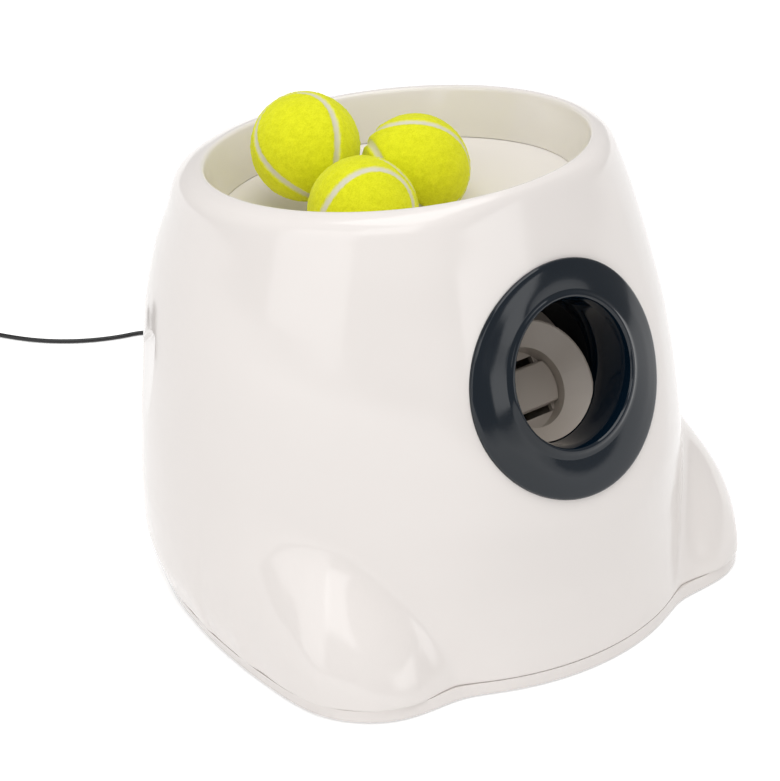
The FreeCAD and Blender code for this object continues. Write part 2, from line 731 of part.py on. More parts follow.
def make_drive_wheel():
    gone = range(drive_teeth - missing_teeth, drive_teeth)
    wheel = gear_disc(drive_centre, -rack_half, rack_half, drive_teeth, rack_module, mesh_up, gone)
    wheel = wheel.fuse(gear_disc(drive_centre, spur_x, spur_x + spur_width, drive_spur_teeth, train_module, spur_first))
    hub = cyl_x(shaft_radius + 3.0, drive_centre, left_plate_x + plate + 0.5, right_plate_x - 0.5)
    wheel = wheel.fuse(hub)
    for k in range(5):
        a = 2 * math.pi * k / 5
        hole = beyond(drive_centre, a, drive_radius * 0.55)
        wheel = wheel.cut(cyl_x(3.6, hole, -50, 50))
    return wheel.cut(cyl_x(shaft_radius + running_gap, drive_centre, -60, 60)).removeSplitter()


def make_idler_gear():
    gear = gear_disc(idler_centre, spur_x - 0.5, idler_x, idler_pinion_teeth, train_module, idler_first)
    gear = gear.fuse(gear_disc(idler_centre, idler_x, idler_x + spur_width, idler_wheel_teeth, train_module, idler_first))
    gear = gear.fuse(cyl_x(shaft_radius + 2.0, idler_centre, left_plate_x + plate + 0.5, right_plate_x - 0.5))
    return gear.cut(cyl_x(shaft_radius + running_gap, idler_centre, -60, 60)).removeSplitter()


def make_motor_pinion():
    gear = gear_disc(motor_centre, idler_x - 0.5, idler_x + spur_width, motor_pinion_teeth, train_module, motor_first)
    shaft = cyl_x(1.0, motor_centre, idler_x - 0.5, right_plate_x + plate + 6.0)
    return gear.fuse(shaft)


def make_plate(x0, top_rise):
    front, back = drive_centre.y - 25.0, motor_centre.y + motor_radius + 4.0
    low = floor_top

    def top(y):
        depth = (y + ring_forward - (top_rise + mouth_rise) * math.sin(tilt)) / math.cos(tilt)
        return barrel_point(depth, top_rise).z
    outline = [(front, low), (back, low), (back, top(back)), (front, top(front))]
    wire = Part.makePolygon([Vector(x0, y, z) for y, z in outline + outline[:1]])
    side = Part.Face(wire).extrude(Vector(plate, 0, 0))
    foot = block(x0 - (6 if x0 < 0 else 0), x0 + plate + (0 if x0 < 0 else 6), front, back, low, low + 3)
    side = side.fuse(foot)
    for centre in (drive_centre, idler_centre):
        side = side.cut(cyl_x(shaft_radius + 1.5, centre, x0 - 10, x0 + 10))
    side = side.cut(cyl_x(4.0, motor_centre, x0 - 10, x0 + 10))
    for y in (front + 8, back - 7):
        side = side.cut(cyl_x(1.7, Vector(0, y, low + 12), x0 - 10, x0 + 10))
    return side


def plate_top(x):
    return -math.sqrt(tube_radius**2 - x**2) - clearance


def make_spacers():
    front, back = drive_centre.y - 25.0, motor_centre.y + motor_radius + 4.0
    pieces = []
    for y in (front + 8, back - 7):
        place = Vector(0, y, floor_top + 12)
        post = cyl_x(3.2, place, left_plate_x + plate, right_plate_x)
        post = post.fuse(cyl_x(1.65, place, left_plate_x, right_plate_x + plate))
        pieces.append(post)
    return pieces


def make_shaft(centre):
    return cyl_x(shaft_radius, centre, left_plate_x - 1.5, right_plate_x + plate + 1.5)


def make_bushes():
    pieces = []
    for centre in (drive_centre, idler_centre):
        for x0 in (left_plate_x, right_plate_x):
            bush = cyl_x(shaft_radius + 1.45, centre, x0, x0 + plate)
            pieces.append(bush.cut(cyl_x(shaft_radius + 0.02, centre, x0 - 1, x0 + 9)))
    return pieces


def make_motor():
    x0 = right_plate_x + plate
    body = cyl_x(motor_radius, motor_centre, x0 + 0.02, x0 + motor_length)
    body = body.fuse(cyl_x(3.8, motor_centre, x0 - 1.5, x0 + 1.0))
    body = body.fuse(cyl_x(4.5, motor_centre, x0 + motor_length, x0 + motor_length + 2.0))
    for s in (-1, 1):
        tab = Vector(0, motor_centre.y + s * 7.0, motor_centre.z)
        body = body.fuse(block(x0 + motor_length - 0.5, x0 + motor_length + 4, tab.y - 1.2, tab.y + 1.2, tab.z - 0.3, tab.z + 0.3))
    return body.cut(cyl_x(1.0 + running_gap, motor_centre, x0 - 5, x0 + 8))


# ---- springs and stops ------------------------------------------------------------------------
def make_spring(side):
    """Extension spring beside the barrel with an eye at each end."""
    x = side * spring_side
    start, end = striker_front + 12.0, lug_start
    body = tube_y(3.5, 2.4, start + 5.0, end - 5.0)
    body.translate(Vector(x, 0, 6.4))
    pieces = [body]
    for place in (start + 2.4, end - 2.4):
        eye = Part.makeTorus(2.6, 0.55, Vector(x, place, 6.4), Vector(1, 0, 0))
        pieces.append(eye)
    solid = pieces[0].fuse(pieces[1:])
    return barrel_frame(solid)


def make_spring_posts():
    """Pins on the barrel's sides that hold the springs' front eyes."""
    pieces = []
    for side in (-1, 1):
        x0, x1 = sorted((side * (tube_radius - 0.4), side * (spring_side + 3.0)))
        post = Part.makeCylinder(1.8, x1 - x0, Vector(x0, striker_front + 12.0 + 2.4, 6.4), SIDE)
        pieces.append(barrel_frame(post.cut(tube_y(tube_radius + 0.02, 0, 0, 300))))
    return pieces


def make_bumpers():
    """Rubber pads at the front ends of the side slots, where the lugs stop."""
    pieces = []
    for side in (-1, 1):
        x0, x1 = sorted((side * (tube_radius + clearance), side * (tube_radius + 7.0)))
        pad = block(x0, x1, lug_start - 6.0, lug_start - clearance, -2.9, 2.7)
        pieces.append(barrel_frame(pad))
    return pieces


# ---- electrics ---------------------------------------------------------------------------------
board_thickness = 1.6
board_gap = 10.5              # panel back to the board
button_places = {"power_button": -18.0, "distance_button": 2.0}
jack_side = 26.0
lights_side = 14.0
jack_low = 7.0                # jack below the middle of the panel
button_flange = 1.6
button_proud = 1.8


def make_control_panel():
    face = panel_face()
    w, h = panel_width / 2 - clearance, panel_height / 2 - clearance
    back = face - wall
    panel = block(-w, w, back, face, panel_middle - h, panel_middle + h)
    panel = panel.makeFillet(2.0, [e for e in panel.Edges if abs(e.tangentAt(0).y) > 0.9])
    for x in button_places.values():
        panel = panel.cut(Part.makeCylinder(button_radius + clearance, 20, Vector(x, face - 10, panel_middle), Vector(0, 1, 0)))
    panel = panel.cut(Part.makeCylinder(jack_radius + 1.0, 20, Vector(jack_side, face - 10, panel_middle - jack_low), Vector(0, 1, 0)))
    for i in range(3):
        panel = panel.cut(Part.makeCylinder(1.55, 20, Vector(lights_side + 8 * i, face - 10, panel_middle + 8), Vector(0, 1, 0)))
    for x in (-w + 6, w - 5):
        for z in (panel_middle - h + 5.5, panel_middle + h - 5.5):
            post = Part.makeCylinder(2.4, board_gap, Vector(x, back - board_gap, z), Vector(0, 1, 0))
            panel = panel.fuse(post)
    return panel


def make_button(name):
    face = panel_face()
    back = face - wall
    place = Vector(button_places[name], 0, panel_middle)
    cap = Part.makeCylinder(button_radius, wall + button_proud + clearance, place + Vector(0, back - clearance, 0), Vector(0, 1, 0))
    cap = cap.makeFillet(0.9, [e for e in cap.Edges if e.CenterOfMass.y > face + button_proud - 0.1])
    flange = Part.makeCylinder(button_radius + 1.3, button_flange, place + Vector(0, back - clearance - button_flange, 0), Vector(0, 1, 0))
    stem = Part.makeCylinder(2.0, 1.2, place + Vector(0, back - clearance - button_flange - 1.2, 0), Vector(0, 1, 0))
    return cap.fuse([flange, stem])


def make_main_board():
    back = panel_face() - wall - board_gap
    w = panel_width / 2 - 2
    board = block(-w, w, back - board_thickness, back, panel_middle - panel_height / 2 + 0.5, panel_middle + panel_height / 2 + 8)
    for x in button_places.values():
        reach = board_gap - clearance - button_flange - 1.2 - button_travel - 0.4
        board = board.fuse(block(x - 3, x + 3, back, back + reach - 1.0, panel_middle - 3, panel_middle + 3))
        board = board.fuse(Part.makeCylinder(1.6, 1.0, Vector(x, back + reach - 1.0, panel_middle), Vector(0, 1, 0)))
    chip_back = back - board_thickness
    for x, z, sx, sz, depth in ((-14, 6, 9, 9, 1.4), (8, 2, 6, 4, 1.2), (24, 14, 8, 8, 6.0)):
        board = board.fuse(block(x - sx / 2, x + sx / 2, chip_back - depth, chip_back,
                                 panel_middle + z - sz / 2, panel_middle + z + sz / 2))
    return board


def make_dc_jack():
    face = panel_face()
    place = Vector(jack_side, 0, panel_middle - jack_low)
    body = block(place.x - 4.6, place.x + 4.6, face - wall - board_gap, face - wall - 0.05, place.z - 4.6, place.z + 4.6)
    nose = Part.makeCylinder(jack_radius + 0.9, wall, place + Vector(0, face - wall - 0.1, 0), Vector(0, 1, 0))
    jack = body.fuse(nose)
    jack = jack.cut(Part.makeCylinder(plug_radius + 0.08, 9.5, place + Vector(0, face - 9.4, 0), Vector(0, 1, 0)))
    pin = Part.makeCylinder(1.0, 8.5, place + Vector(0, face - 9.6, 0), Vector(0, 1, 0))
    return jack.fuse(pin)


def make_status_lights():
    face = panel_face()
    pieces = []
    for i in range(3):
        place = Vector(lights_side + 8 * i, 0, panel_middle + 8)
        light = Part.makeCylinder(1.5, wall + 0.6, place + Vector(0, face - wall, 0), Vector(0, 1, 0))
        light = light.fuse(Part.makeCylinder(1.9, board_gap, place + Vector(0, face - wall - board_gap, 0), Vector(0, 1, 0)))
        pieces.append(light)
    return pieces


def make_buzzer():
    back = panel_face() - wall - board_gap - board_thickness
    return Part.makeCylinder(6.0, 5.0, Vector(-28, back - 5.0, panel_middle + 12), Vector(0, 1, 0))


cell_centre_z = floor_top + 0.5 + cell_diameter / 2


def make_battery_box():
    w = battery_half_width + box_wall
    box = block(-w, w, box_front, box_back, floor_top + clearance, cell_centre_z + cell_diameter / 2 + 0.5 + box_wall, 3.0)
    for y in cell_rows_y:
        place = Vector(0, y, cell_centre_z)
        box = box.cut(cyl_x(cell_diameter / 2 + 0.5, place, -battery_half_width, battery_half_width))
        box = box.cut(block(-battery_half_width, battery_half_width, y - cell_diameter / 2 - 0.5, y + cell_diameter / 2 + 0.5,
                            0, cell_centre_z))
    hole = Part.makeCylinder(screw_radius + 0.1, 8, door_screw_place())
    return box.cut(hole)


def make_cells():
    pieces = []
    for y in cell_rows_y:
        for i in range(cells_per_row):
            x0 = -cells_per_row * cell_length / 2 + i * cell_length + 0.1
            place = Vector(0, y, cell_centre_z)
            cell = cyl_x(cell_diameter / 2, place, x0, x0 + cell_length - 2.2)
            pieces.append(cell.fuse(cyl_x(3.5, place, x0 + cell_length - 2.2, x0 + cell_length - 0.2)))
    return pieces


def make_contacts():
    pieces = []
    for y in cell_rows_y:
        for x in (-battery_half_width + 0.02, battery_half_width - 0.52):
            pieces.append(block(x, x + 0.5, y - 6, y + 6, cell_centre_z - 6, cell_centre_z + 6))
    return pieces


def door_screw_place():
    return Vector(0, cell_rows_y[0] - row_pitch / 2, 0)


def make_battery_door():
    door = door_block(0.0, foot_gap, floor_top - 0.2)
    finger = block(-12, 12, box_back + door_margin - 9, box_back + door_margin - 6, foot_gap - 1, foot_gap + 1.0)
    screw = door_screw_place()
    door = door.cut(finger)
    door = door.cut(Part.makeCylinder(screw_radius + 0.2, 20, screw))
    return door.cut(Part.makeCylinder(screw_head_radius + 0.3, foot_gap + screw_head + 0.1, screw))


def make_screw(place, low, reach):
    head = Part.makeCylinder(screw_head_radius, screw_head, place + Vector(0, 0, low))
    shank = Part.makeCylinder(screw_radius, reach, place + Vector(0, 0, low + screw_head))
    return head.fuse(shank)


def make_rubber_feet():
    pieces = []
    for x, y in foot_places:
        pad = Part.makeCylinder(pad_radius, foot_gap + pad_sink, Vector(x, y, 0))
        pieces.append(pad.makeFillet(0.5, [e for e in pad.Edges if e.CenterOfMass.z < 0.1 and e.Length > 10]))
    return pieces


def make_rear_cradle():
    """Rib that carries the barrel's rear end from the tray."""
    depth = barrel_end - 26.0
    place = barrel_point(depth)
    rib = block(-tube_radius - 2, tube_radius + 2, place.y - 10, place.y - 7, floor_top, place.z - 12)
    rib = rib.fuse(block(-tube_radius - 2, tube_radius + 2, place.y - 14, place.y - 3, floor_top, floor_top + 3))
    rib = rib.cut(barrel_frame(tube_y(tube_radius + clearance, 0, 0, 400)))
    return rib.cut(block(-rack_half - 2.5, rack_half + 2.5, place.y - 30, place.y + 30, floor_top + 3.5, 300))


# ---- ball sensor -------------------------------------------------------------------------------
def make_ball_sensor():
    """Microswitch beside the feed opening; its lever is a node of its own."""
    x = tube_radius + 4.0
    body = block(x, x + 6.4, 70.0, 90.0, 13.0, 23.0)
    arm = block(tube_radius - 12, x, 76.0, 84.0, 16.0, 19.0)
    return barrel_frame(body.fuse(arm).cut(tube_y(tube_radius + 0.02, 0, 0, 400)))


# ---- balls -------------------------------------------------------------------------------------
# Centres of 50 mm balls as they lie, from the tip of the funnel's cone; other balls keep the same seats.
ball_seats = [(-19.6, 48.522, 57.513), (20.4, 19.022, 45.313), (-26.3, 0.322, 44.663)]
plug_radius = 2.7
plug_length = 20.0
relief_length = 12.0
adapter_relief = 10.0


# ---- supply lead -------------------------------------------------------------------------------
floor_line = lead_diameter / 2 + 0.1
adapter_size = (42.0, 68.0, 28.0)
coil_turn_radius = 5.5 * lead_diameter
coil_bundle = 4.6             # radius of the wound bundle
coil_centre = Vector(-37.0, 352.0, coil_bundle + 0.5)
adapter_place = Vector(-100.0, 352.0, 0.1)


def jack_place():
    return Vector(jack_side, panel_face(), panel_middle - jack_low)


def cord_points():
    """From the plug's strain relief down to the floor and along it to the coil."""
    start = jack_place() + Vector(0, plug_length + relief_length, 0)
    points = [start, start + Vector(0, 14, -1.5), start + Vector(1, 31, -14)]
    points += [Vector(*p) for p in ((29, 198, 72), (32, 203, 40), (37, 209, 15), (45, 221, floor_line),
                                    (53, 236, floor_line), (54, 252, floor_line), (44, 264, floor_line),
                                    (28, 268, floor_line), (11, 277, floor_line), (-3.5, 290, floor_line),
                                    (-14, 306, floor_line), (-20.5, 321, floor_line), (-24, 336, floor_line),
                                    (-24.9, 351, floor_line))]
    return points


def tail_points():
    """From the coil to the adapter's strain relief."""
    x = adapter_place.x + adapter_size[0] / 2 + adapter_relief
    middle = adapter_place.z + adapter_size[2] / 2
    return [Vector(-37, 364, 7.5), Vector(-48, 363.5, 8.5), Vector(-57.5, 357.5, 11), Vector(-63, 352.8, middle - 0.4),
            Vector(x - 0.5, adapter_place.y, middle)]


def route(points, name):
    """Path of straight runs joined by the largest tangent arcs."""
    edges = []
    last = points[0]
    radii = []
    for a, corner, b in zip(points, points[1:], points[2:]):
        before, after = (a - corner), (b - corner)
        cut_back = 0.45 * min(before.Length, after.Length)
        half = (math.pi - before.getAngle(after)) / 2
        radii.append(round(cut_back / math.tan(half), 1))
        before.normalize()
        after.normalize()
        start, end = corner + before * cut_back, corner + after * cut_back
        inward = before + after
        inward.normalize()
        radius = cut_back / math.tan(half)
        middle = corner + inward * (radius / math.cos(half) - radius)
        edges.append(Part.LineSegment(last, start).toShape())
        edges.append(Part.Arc(start, middle, end).toShape())
        last = end
    edges.append(Part.LineSegment(last, points[-1]).toShape())
    wire = Part.Wire(edges)
    print(name, "length", round(wire.Length, 1), "arc radii", radii)
    return wire


def lead_tube(points, name):
    path = route(points, name)
    aim = points[1] - points[0]
    ring = Part.Wire(Part.makeCircle(lead_diameter / 2, points[0], aim))
    tube = path.makePipeShell([ring], True, False)
    print(name, "volume over section times length",
          round(tube.Volume / (path.Length * math.pi * lead_diameter**2 / 4), 4))
    return tube


def make_dc_plug():
    """Barrel plug pushed into the jack, with a tapered strain relief."""
    place = jack_place()
    pin = Part.makeCylinder(plug_radius, 8.8, place - Vector(0, 8.8, 0), Vector(0, 1, 0))
    pin = pin.cut(Part.makeCylinder(1.05, 8.7, place - Vector(0, 8.9, 0), Vector(0, 1, 0)))
    grip = turned([(0, 0.3), (4.6, 0.3), (5.0, 1.2), (5.0, plug_length - 6), (3.6, plug_length), (2.4, plug_length + 1),
                   (lead_diameter / 2 + 0.6, plug_length + relief_length), (0, plug_length + relief_length)])
    grip.translate(place)
    return grip.fuse(pin.fuse(Part.makeCylinder(plug_radius, 0.5, place, Vector(0, 1, 0))))


def make_coil():
    return Part.makeTorus(coil_turn_radius, coil_bundle, coil_centre)


def make_tie():
    tie = Part.makeTorus(coil_turn_radius, coil_bundle + 0.5, coil_centre, UP, 0, 360, 26)
    tie.rotate(coil_centre, UP, 77)
    tie = tie.cut(Part.makeTorus(coil_turn_radius, coil_bundle + 0.02, coil_centre))
    return tie.common(block(-200, 200, 0, 500, 0.05, 60))


def make_adapter_body():
    x, y, z = adapter_size
    body = block(adapter_place.x - x / 2, adapter_place.x + x / 2, adapter_place.y - y / 2, adapter_place.y + y / 2,
                 adapter_place.z, adapter_place.z + z)
    body = body.makeFillet(5.0, [e for e in body.Edges if abs(e.tangentAt(0).z) > 0.9])
    body = body.makeChamfer(1.2, [e for e in body.Edges if e.CenterOfMass.z > z - 0.5])
    relief = turned([(0, 0), (3.4, 0), (2.0, adapter_relief), (0, adapter_relief)])
    relief.rotate(Vector(0, 0, 0), UP, -90)
    relief.translate(Vector(adapter_place.x + x / 2 - 0.5, adapter_place.y, adapter_place.z + z / 2))
    return body.fuse(relief)


def make_adapter_pins():
    """Two round mains pins in the adapter's end face."""
    pins = []
    for side in (-9.5, 9.5):
        place = Vector(adapter_place.x + side, adapter_place.y + adapter_size[1] / 2, adapter_place.z + adapter_size[2] / 2)
        pin = Part.makeCylinder(2.0, 19.0, place, Vector(0, 1, 0))
        pins.append(pin.makeChamfer(0.8, [e for e in pin.Edges if e.CenterOfMass.y > place.y + 18.5 and e.Length > 11]))
    return pins


def main():
    form = body_form()
    save("body_shell", make_body_shell(form))
    save("base_tray", make_base_tray())
    save("hopper_funnel", make_hopper_funnel())
    save("launch_ring", make_launch_ring())
    save("barrel_tube", make_barrel_tube())
    save("barrel_rear_cap", make_barrel_rear_cap())
    save("striker_cup", make_striker_cup())
    save("striker_bar", make_striker_bar())
    save("striker_rack", make_striker_rack())
    save("drive_wheel", make_drive_wheel())
    save("idler_gear", make_idler_gear())
    save("motor_pinion", make_motor_pinion())
    save("gearbox_plate_left", make_plate(left_plate_x, plate_top(left_plate_x + plate)))
    save("gearbox_plate_right", make_plate(right_plate_x, plate_top(right_plate_x)))
    save("gearbox_spacers", *make_spacers())
    save("drive_shaft", make_shaft(drive_centre))
    save("idler_shaft", make_shaft(idler_centre))
    save("shaft_bushes", *make_bushes())
    save("motor", make_motor())
    save("spring_left", make_spring(-1))
    save("spring_right", make_spring(1))
    save("spring_posts", *make_spring_posts())
    save("striker_bumpers", *make_bumpers())
    save("control_panel", make_control_panel())
    for name in button_places:
        save(name, make_button(name))
    save("main_board", make_main_board())
    save("dc_jack", make_dc_jack())
    save("status_lights", *make_status_lights())
    save("buzzer", make_buzzer())
    save("battery_box", make_battery_box())
    save("battery_cells", *make_cells())
    save("battery_contacts", *make_contacts())
    save("battery_door", make_battery_door())
    save("battery_door_screw", make_screw(door_screw_place(), foot_gap + 0.05, 5.0))
    save("rubber_feet", *make_rubber_feet())
    save("housing_screws", *[make_screw(boss_place(a), screw_seat - screw_head, 14.0) for a in boss_angles])
    save("rear_cradle", make_rear_cradle())
    save("ball_sensor", make_ball_sensor())
    for i, seat in enumerate(ball_seats):
        save("ball_" + str(i + 1), Part.makeSphere(ball_radius, ball_place(seat)))
    save("dc_plug", make_dc_plug())
    save("power_cord", lead_tube(cord_points(), "power_cord"))
    save("cord_coil", make_coil())
    save("cord_tie", make_tie())
    save("cord_tail", lead_tube(tail_points(), "cord_tail"))
    save("adapter_body", make_adapter_body())
    save("adapter_pins", *make_adapter_pins())


main()
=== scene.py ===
import json
import math

import bpy
import bmesh
import numpy as np
from mathutils import Matrix, Vector


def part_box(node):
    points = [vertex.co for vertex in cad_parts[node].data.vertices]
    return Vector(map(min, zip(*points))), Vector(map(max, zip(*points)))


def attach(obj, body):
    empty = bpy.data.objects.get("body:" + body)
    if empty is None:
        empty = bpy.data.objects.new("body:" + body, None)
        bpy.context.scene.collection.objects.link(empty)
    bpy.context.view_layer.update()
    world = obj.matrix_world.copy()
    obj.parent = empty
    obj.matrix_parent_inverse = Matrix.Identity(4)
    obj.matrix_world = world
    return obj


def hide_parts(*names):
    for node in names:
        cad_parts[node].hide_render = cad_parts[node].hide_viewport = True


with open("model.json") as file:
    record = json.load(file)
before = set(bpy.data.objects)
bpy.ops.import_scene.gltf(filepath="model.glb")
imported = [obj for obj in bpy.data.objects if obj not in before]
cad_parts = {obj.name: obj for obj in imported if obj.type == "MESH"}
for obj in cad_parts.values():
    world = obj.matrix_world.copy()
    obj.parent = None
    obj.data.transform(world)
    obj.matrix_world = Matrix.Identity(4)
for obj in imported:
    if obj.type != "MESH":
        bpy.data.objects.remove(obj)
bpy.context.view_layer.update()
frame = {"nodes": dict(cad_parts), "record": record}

# Pieces are in millimetres and degrees, the camera and the studio in metres.
mm = 0.001
nodes = frame["nodes"]


def link(obj):
    bpy.context.scene.collection.objects.link(obj)
    return obj


def meshObject(name, points, faces, material=None):
    mesh = bpy.data.meshes.new(name)
    mesh.from_pydata([tuple(p) for p in points], [], faces)
    mesh.validate()
    mesh.polygons.foreach_set("use_smooth", [True] * len(mesh.polygons))
    if material:
        mesh.materials.append(material)
    return link(bpy.data.objects.new(name, mesh))


# quads between neighbouring rings of points; every ring is closed on itself
def ringFaces(rows, columns, closedRows=False):
    faces = []
    for i in range(rows if closedRows else rows - 1):
        a, b = i * columns, ((i + 1) % rows) * columns
        faces += [(a + j, a + (j + 1) % columns, b + (j + 1) % columns, b + j) for j in range(columns)]
    return faces


def facesOut(obj):
    work = bmesh.new()
    work.from_mesh(obj.data)
    bmesh.ops.recalc_face_normals(work, faces=work.faces)
    work.to_mesh(obj.data)
    work.free()
    return obj


# takes the cutter's space out of obj for good
def cutBy(obj, cutter):
    change = obj.modifiers.new("cut", "BOOLEAN")
    change.operation = "DIFFERENCE"
    change.solver = "EXACT"
    change.object = cutter
    view = bpy.context.evaluated_depsgraph_get()
    mesh = bpy.data.meshes.new_from_object(obj.evaluated_get(view))
    obj.modifiers.clear()
    obj.data = mesh
    bpy.data.objects.remove(cutter)


# rounded faces shade as one, edges sharper than this stay crisp
def smoothByAngle(obj, degrees):
    obj.data.polygons.foreach_set("use_smooth", [True] * len(obj.data.polygons))
    obj.data.set_sharp_from_angle(angle=math.radians(degrees))


# where the camera stands, and which ways are right and up in its view
camera = {
    "place": (-1.150333, -1.338371, 1.012152),
    "right": (0.762744, -0.646700, 0.0),
    "up": (0.300155, 0.354015, 0.885766),
    "focalPixels": 4367.24,
    "renderPixels": (780, 781),
    "sensor": 36.0,                 # millimetres
    "nearest": 0.1,
    "farthest": 20.0,
}


def makeCamera():
    right, up = Vector(camera["right"]), Vector(camera["up"])
    back = right.cross(up)
    data = bpy.data.cameras.new("camera")
    data.sensor_width = camera["sensor"]
    data.lens = camera["focalPixels"] * camera["sensor"] / max(camera["renderPixels"])
    data.clip_start, data.clip_end = camera["nearest"], camera["farthest"]
    obj = link(bpy.data.objects.new("camera", data))
    turn = Matrix((right, up, back)).transposed().to_4x4()
    obj.matrix_world = Matrix.Translation(Vector(camera["place"])) @ turn
    bpy.context.scene.camera = obj


makeCamera()
print("camera set")


# linear colour from a hex string
def srgb(code):
    parts = [int(code[i:i + 2], 16) / 255 for i in (0, 2, 4)]
    return [c / 12.92 if c <= 0.04045 else ((c + 0.055) / 1.055) ** 2.4 for c in parts] + [1.0]


# one shader node with its settings; an input is a number, a colour or another node's output
def addNode(tree, kind, settings=None, inputs=None):
    node = tree.nodes.new(kind)
    for key, value in (settings or {}).items():
        setattr(node, key, value)
    for key, value in (inputs or {}).items():
        if isinstance(value, bpy.types.NodeSocket):
            tree.links.new(value, node.inputs[key])
        else:
            node.inputs[key].default_value = value
    return node


mixA, mixB, mixed = 6, 7, 2         # a mix node's two colours in and its colour out
colourMix = {"data_type": "RGBA"}


# principled shader with what is the same all over the surface, and the place on the piece
def newMaterial(name, constants):
    material = bpy.data.materials.new(name)
    material.use_nodes = True
    tree = material.node_tree
    shader = next(n for n in tree.nodes if n.type == "BSDF_PRINCIPLED")
    for key, value in constants.items():
        shader.inputs[key].default_value = value
    return material, tree, shader, addNode(tree, "ShaderNodeTexCoord").outputs["Object"]


# how many of a pattern this wide go into a metre
def perMetre(size):
    return 1 / (size * mm)


# a cloudy pattern of this size, spread from one value to another
def uneven(tree, place, size, values=(0.0, 1.0), between=(0.3, 0.7), detail=2.0, fineness=0.5):
    cloud = addNode(tree, "ShaderNodeTexNoise", inputs={
        "Vector": place, "Scale": perMetre(size), "Detail": detail, "Roughness": fineness})
    drift = addNode(tree, "ShaderNodeMapRange", inputs={
        "Value": cloud.outputs["Fac"], "From Min": between[0], "From Max": between[1],
        "To Min": values[0], "To Max": values[1]})
    return drift.outputs["Result"]


# Moulded parts take the tool's surface: a polished tool leaves gloss with a faint ripple, an etched one a
# fine grain that breaks the light up. Colour and gloss drift a little, where the melt has flowed.
plastic = {
    "ior": 1.53,
    "tintSize": 111.0,
    "tintBetween": (0.35, 0.65),
    "glossSize": 38.5,
    "rippleSize": 2.38,
    "rippleStrength": 0.25,
    "rippleDepth": 0.02,
}


def mouldedPlastic(name, colour, shade, gloss, grain=None, specular=0.5):
    material, tree, shader, place = newMaterial(name, {"IOR": plastic["ior"], "Specular IOR Level": specular})
    drift = uneven(tree, place, plastic["tintSize"], between=plastic["tintBetween"], detail=3.0)
    tint = addNode(tree, "ShaderNodeMix", colourMix, {"Factor": drift, mixA: srgb(shade), mixB: srgb(colour)})
    tree.links.new(tint.outputs[mixed], shader.inputs["Base Color"])
    sheen = uneven(tree, place, plastic["glossSize"], gloss, detail=4.0, fineness=0.6)
    tree.links.new(sheen, shader.inputs["Roughness"])
    ripple = addNode(tree, "ShaderNodeTexNoise", inputs={
        "Vector": place, "Scale": perMetre(plastic["rippleSize"]), "Detail": 1.0})
    relief = addNode(tree, "ShaderNodeBump", inputs={
        "Height": ripple.outputs["Fac"], "Strength": plastic["rippleStrength"],
        "Distance": plastic["rippleDepth"] * mm})
    if grain:
        size, strength, depth = grain
        pits = addNode(tree, "ShaderNodeTexNoise", inputs={
            "Vector": place, "Scale": perMetre(size), "Detail": 3.0, "Roughness": 0.6})
        relief = addNode(tree, "ShaderNodeBump", inputs={
            "Height": pits.outputs["Fac"], "Strength": strength, "Distance": depth * mm,
            "Normal": relief.outputs["Normal"]})
    tree.links.new(relief.outputs["Normal"], shader.inputs["Normal"])
    return material


# Rolled and drawn steel has fine lines along the sheet, which stretch a highlight. They are drawn 0.4 mm
# apart, coarser than the real ones, and 25 mm long.
steel = {
    "lines": (25.0, 25.0, 0.417),
    "gloss": (0.26, 0.42),
    "lineStrength": 0.12,
    "lineDepth": 0.03,
}


def brushedSteel(name, colour):
    material, tree, shader, place = newMaterial(name, {"Metallic": 1.0, "Base Color": srgb(colour)})
    along = addNode(tree, "ShaderNodeMapping", inputs={
        "Vector": place, "Scale": [perMetre(size) for size in steel["lines"]]}).outputs["Vector"]
    lines = addNode(tree, "ShaderNodeTexNoise", inputs={
        "Vector": along, "Scale": 1.0, "Detail": 4.0, "Roughness": 0.6}).outputs["Fac"]
    sheen = addNode(tree, "ShaderNodeMapRange", inputs={
        "Value": lines, "From Min": 0.3, "From Max": 0.7, "To Min": steel["gloss"][0],
        "To Max": steel["gloss"][1]})
    tree.links.new(sheen.outputs["Result"], shader.inputs["Roughness"])
    relief = addNode(tree, "ShaderNodeBump", inputs={
        "Height": lines, "Strength": steel["lineStrength"], "Distance": steel["lineDepth"] * mm})
    tree.links.new(relief.outputs["Normal"], shader.inputs["Normal"])
    return material


# cut and turned brass: a warm metal with bright blotches and uneven gloss
brass = {
    "blotchSize": 3.33,
    "blotchBetween": (0.35, 0.7),
    "glossSize": 1.11,
    "gloss": (0.24, 0.38),
}


def turnedBrass(name, colour, bright):
    material, tree, shader, place = newMaterial(name, {"Metallic": 1.0})
    drift = uneven(tree, place, brass["blotchSize"], between=brass["blotchBetween"], detail=3.0)
    tint = addNode(tree, "ShaderNodeMix", colourMix, {
        "Factor": drift, mixA: srgb(colour), mixB: srgb(bright)})
    tree.links.new(tint.outputs[mixed], shader.inputs["Base Color"])
    tree.links.new(uneven(tree, place, brass["glossSize"], brass["gloss"]), shader.inputs["Roughness"])
    return material


# moulded rubber: matt and nearly black, paler where dust clings, with a fine even grain
rubber = {
    "ior": 1.5,
    "specular": 0.35,
    "dustSize": 8.33,
    "glossSize": 5.0,
    "gloss": (0.62, 0.78),
    "pitSize": 0.556,
    "pitStrength": 0.3,
    "pitDepth": 0.04,
}


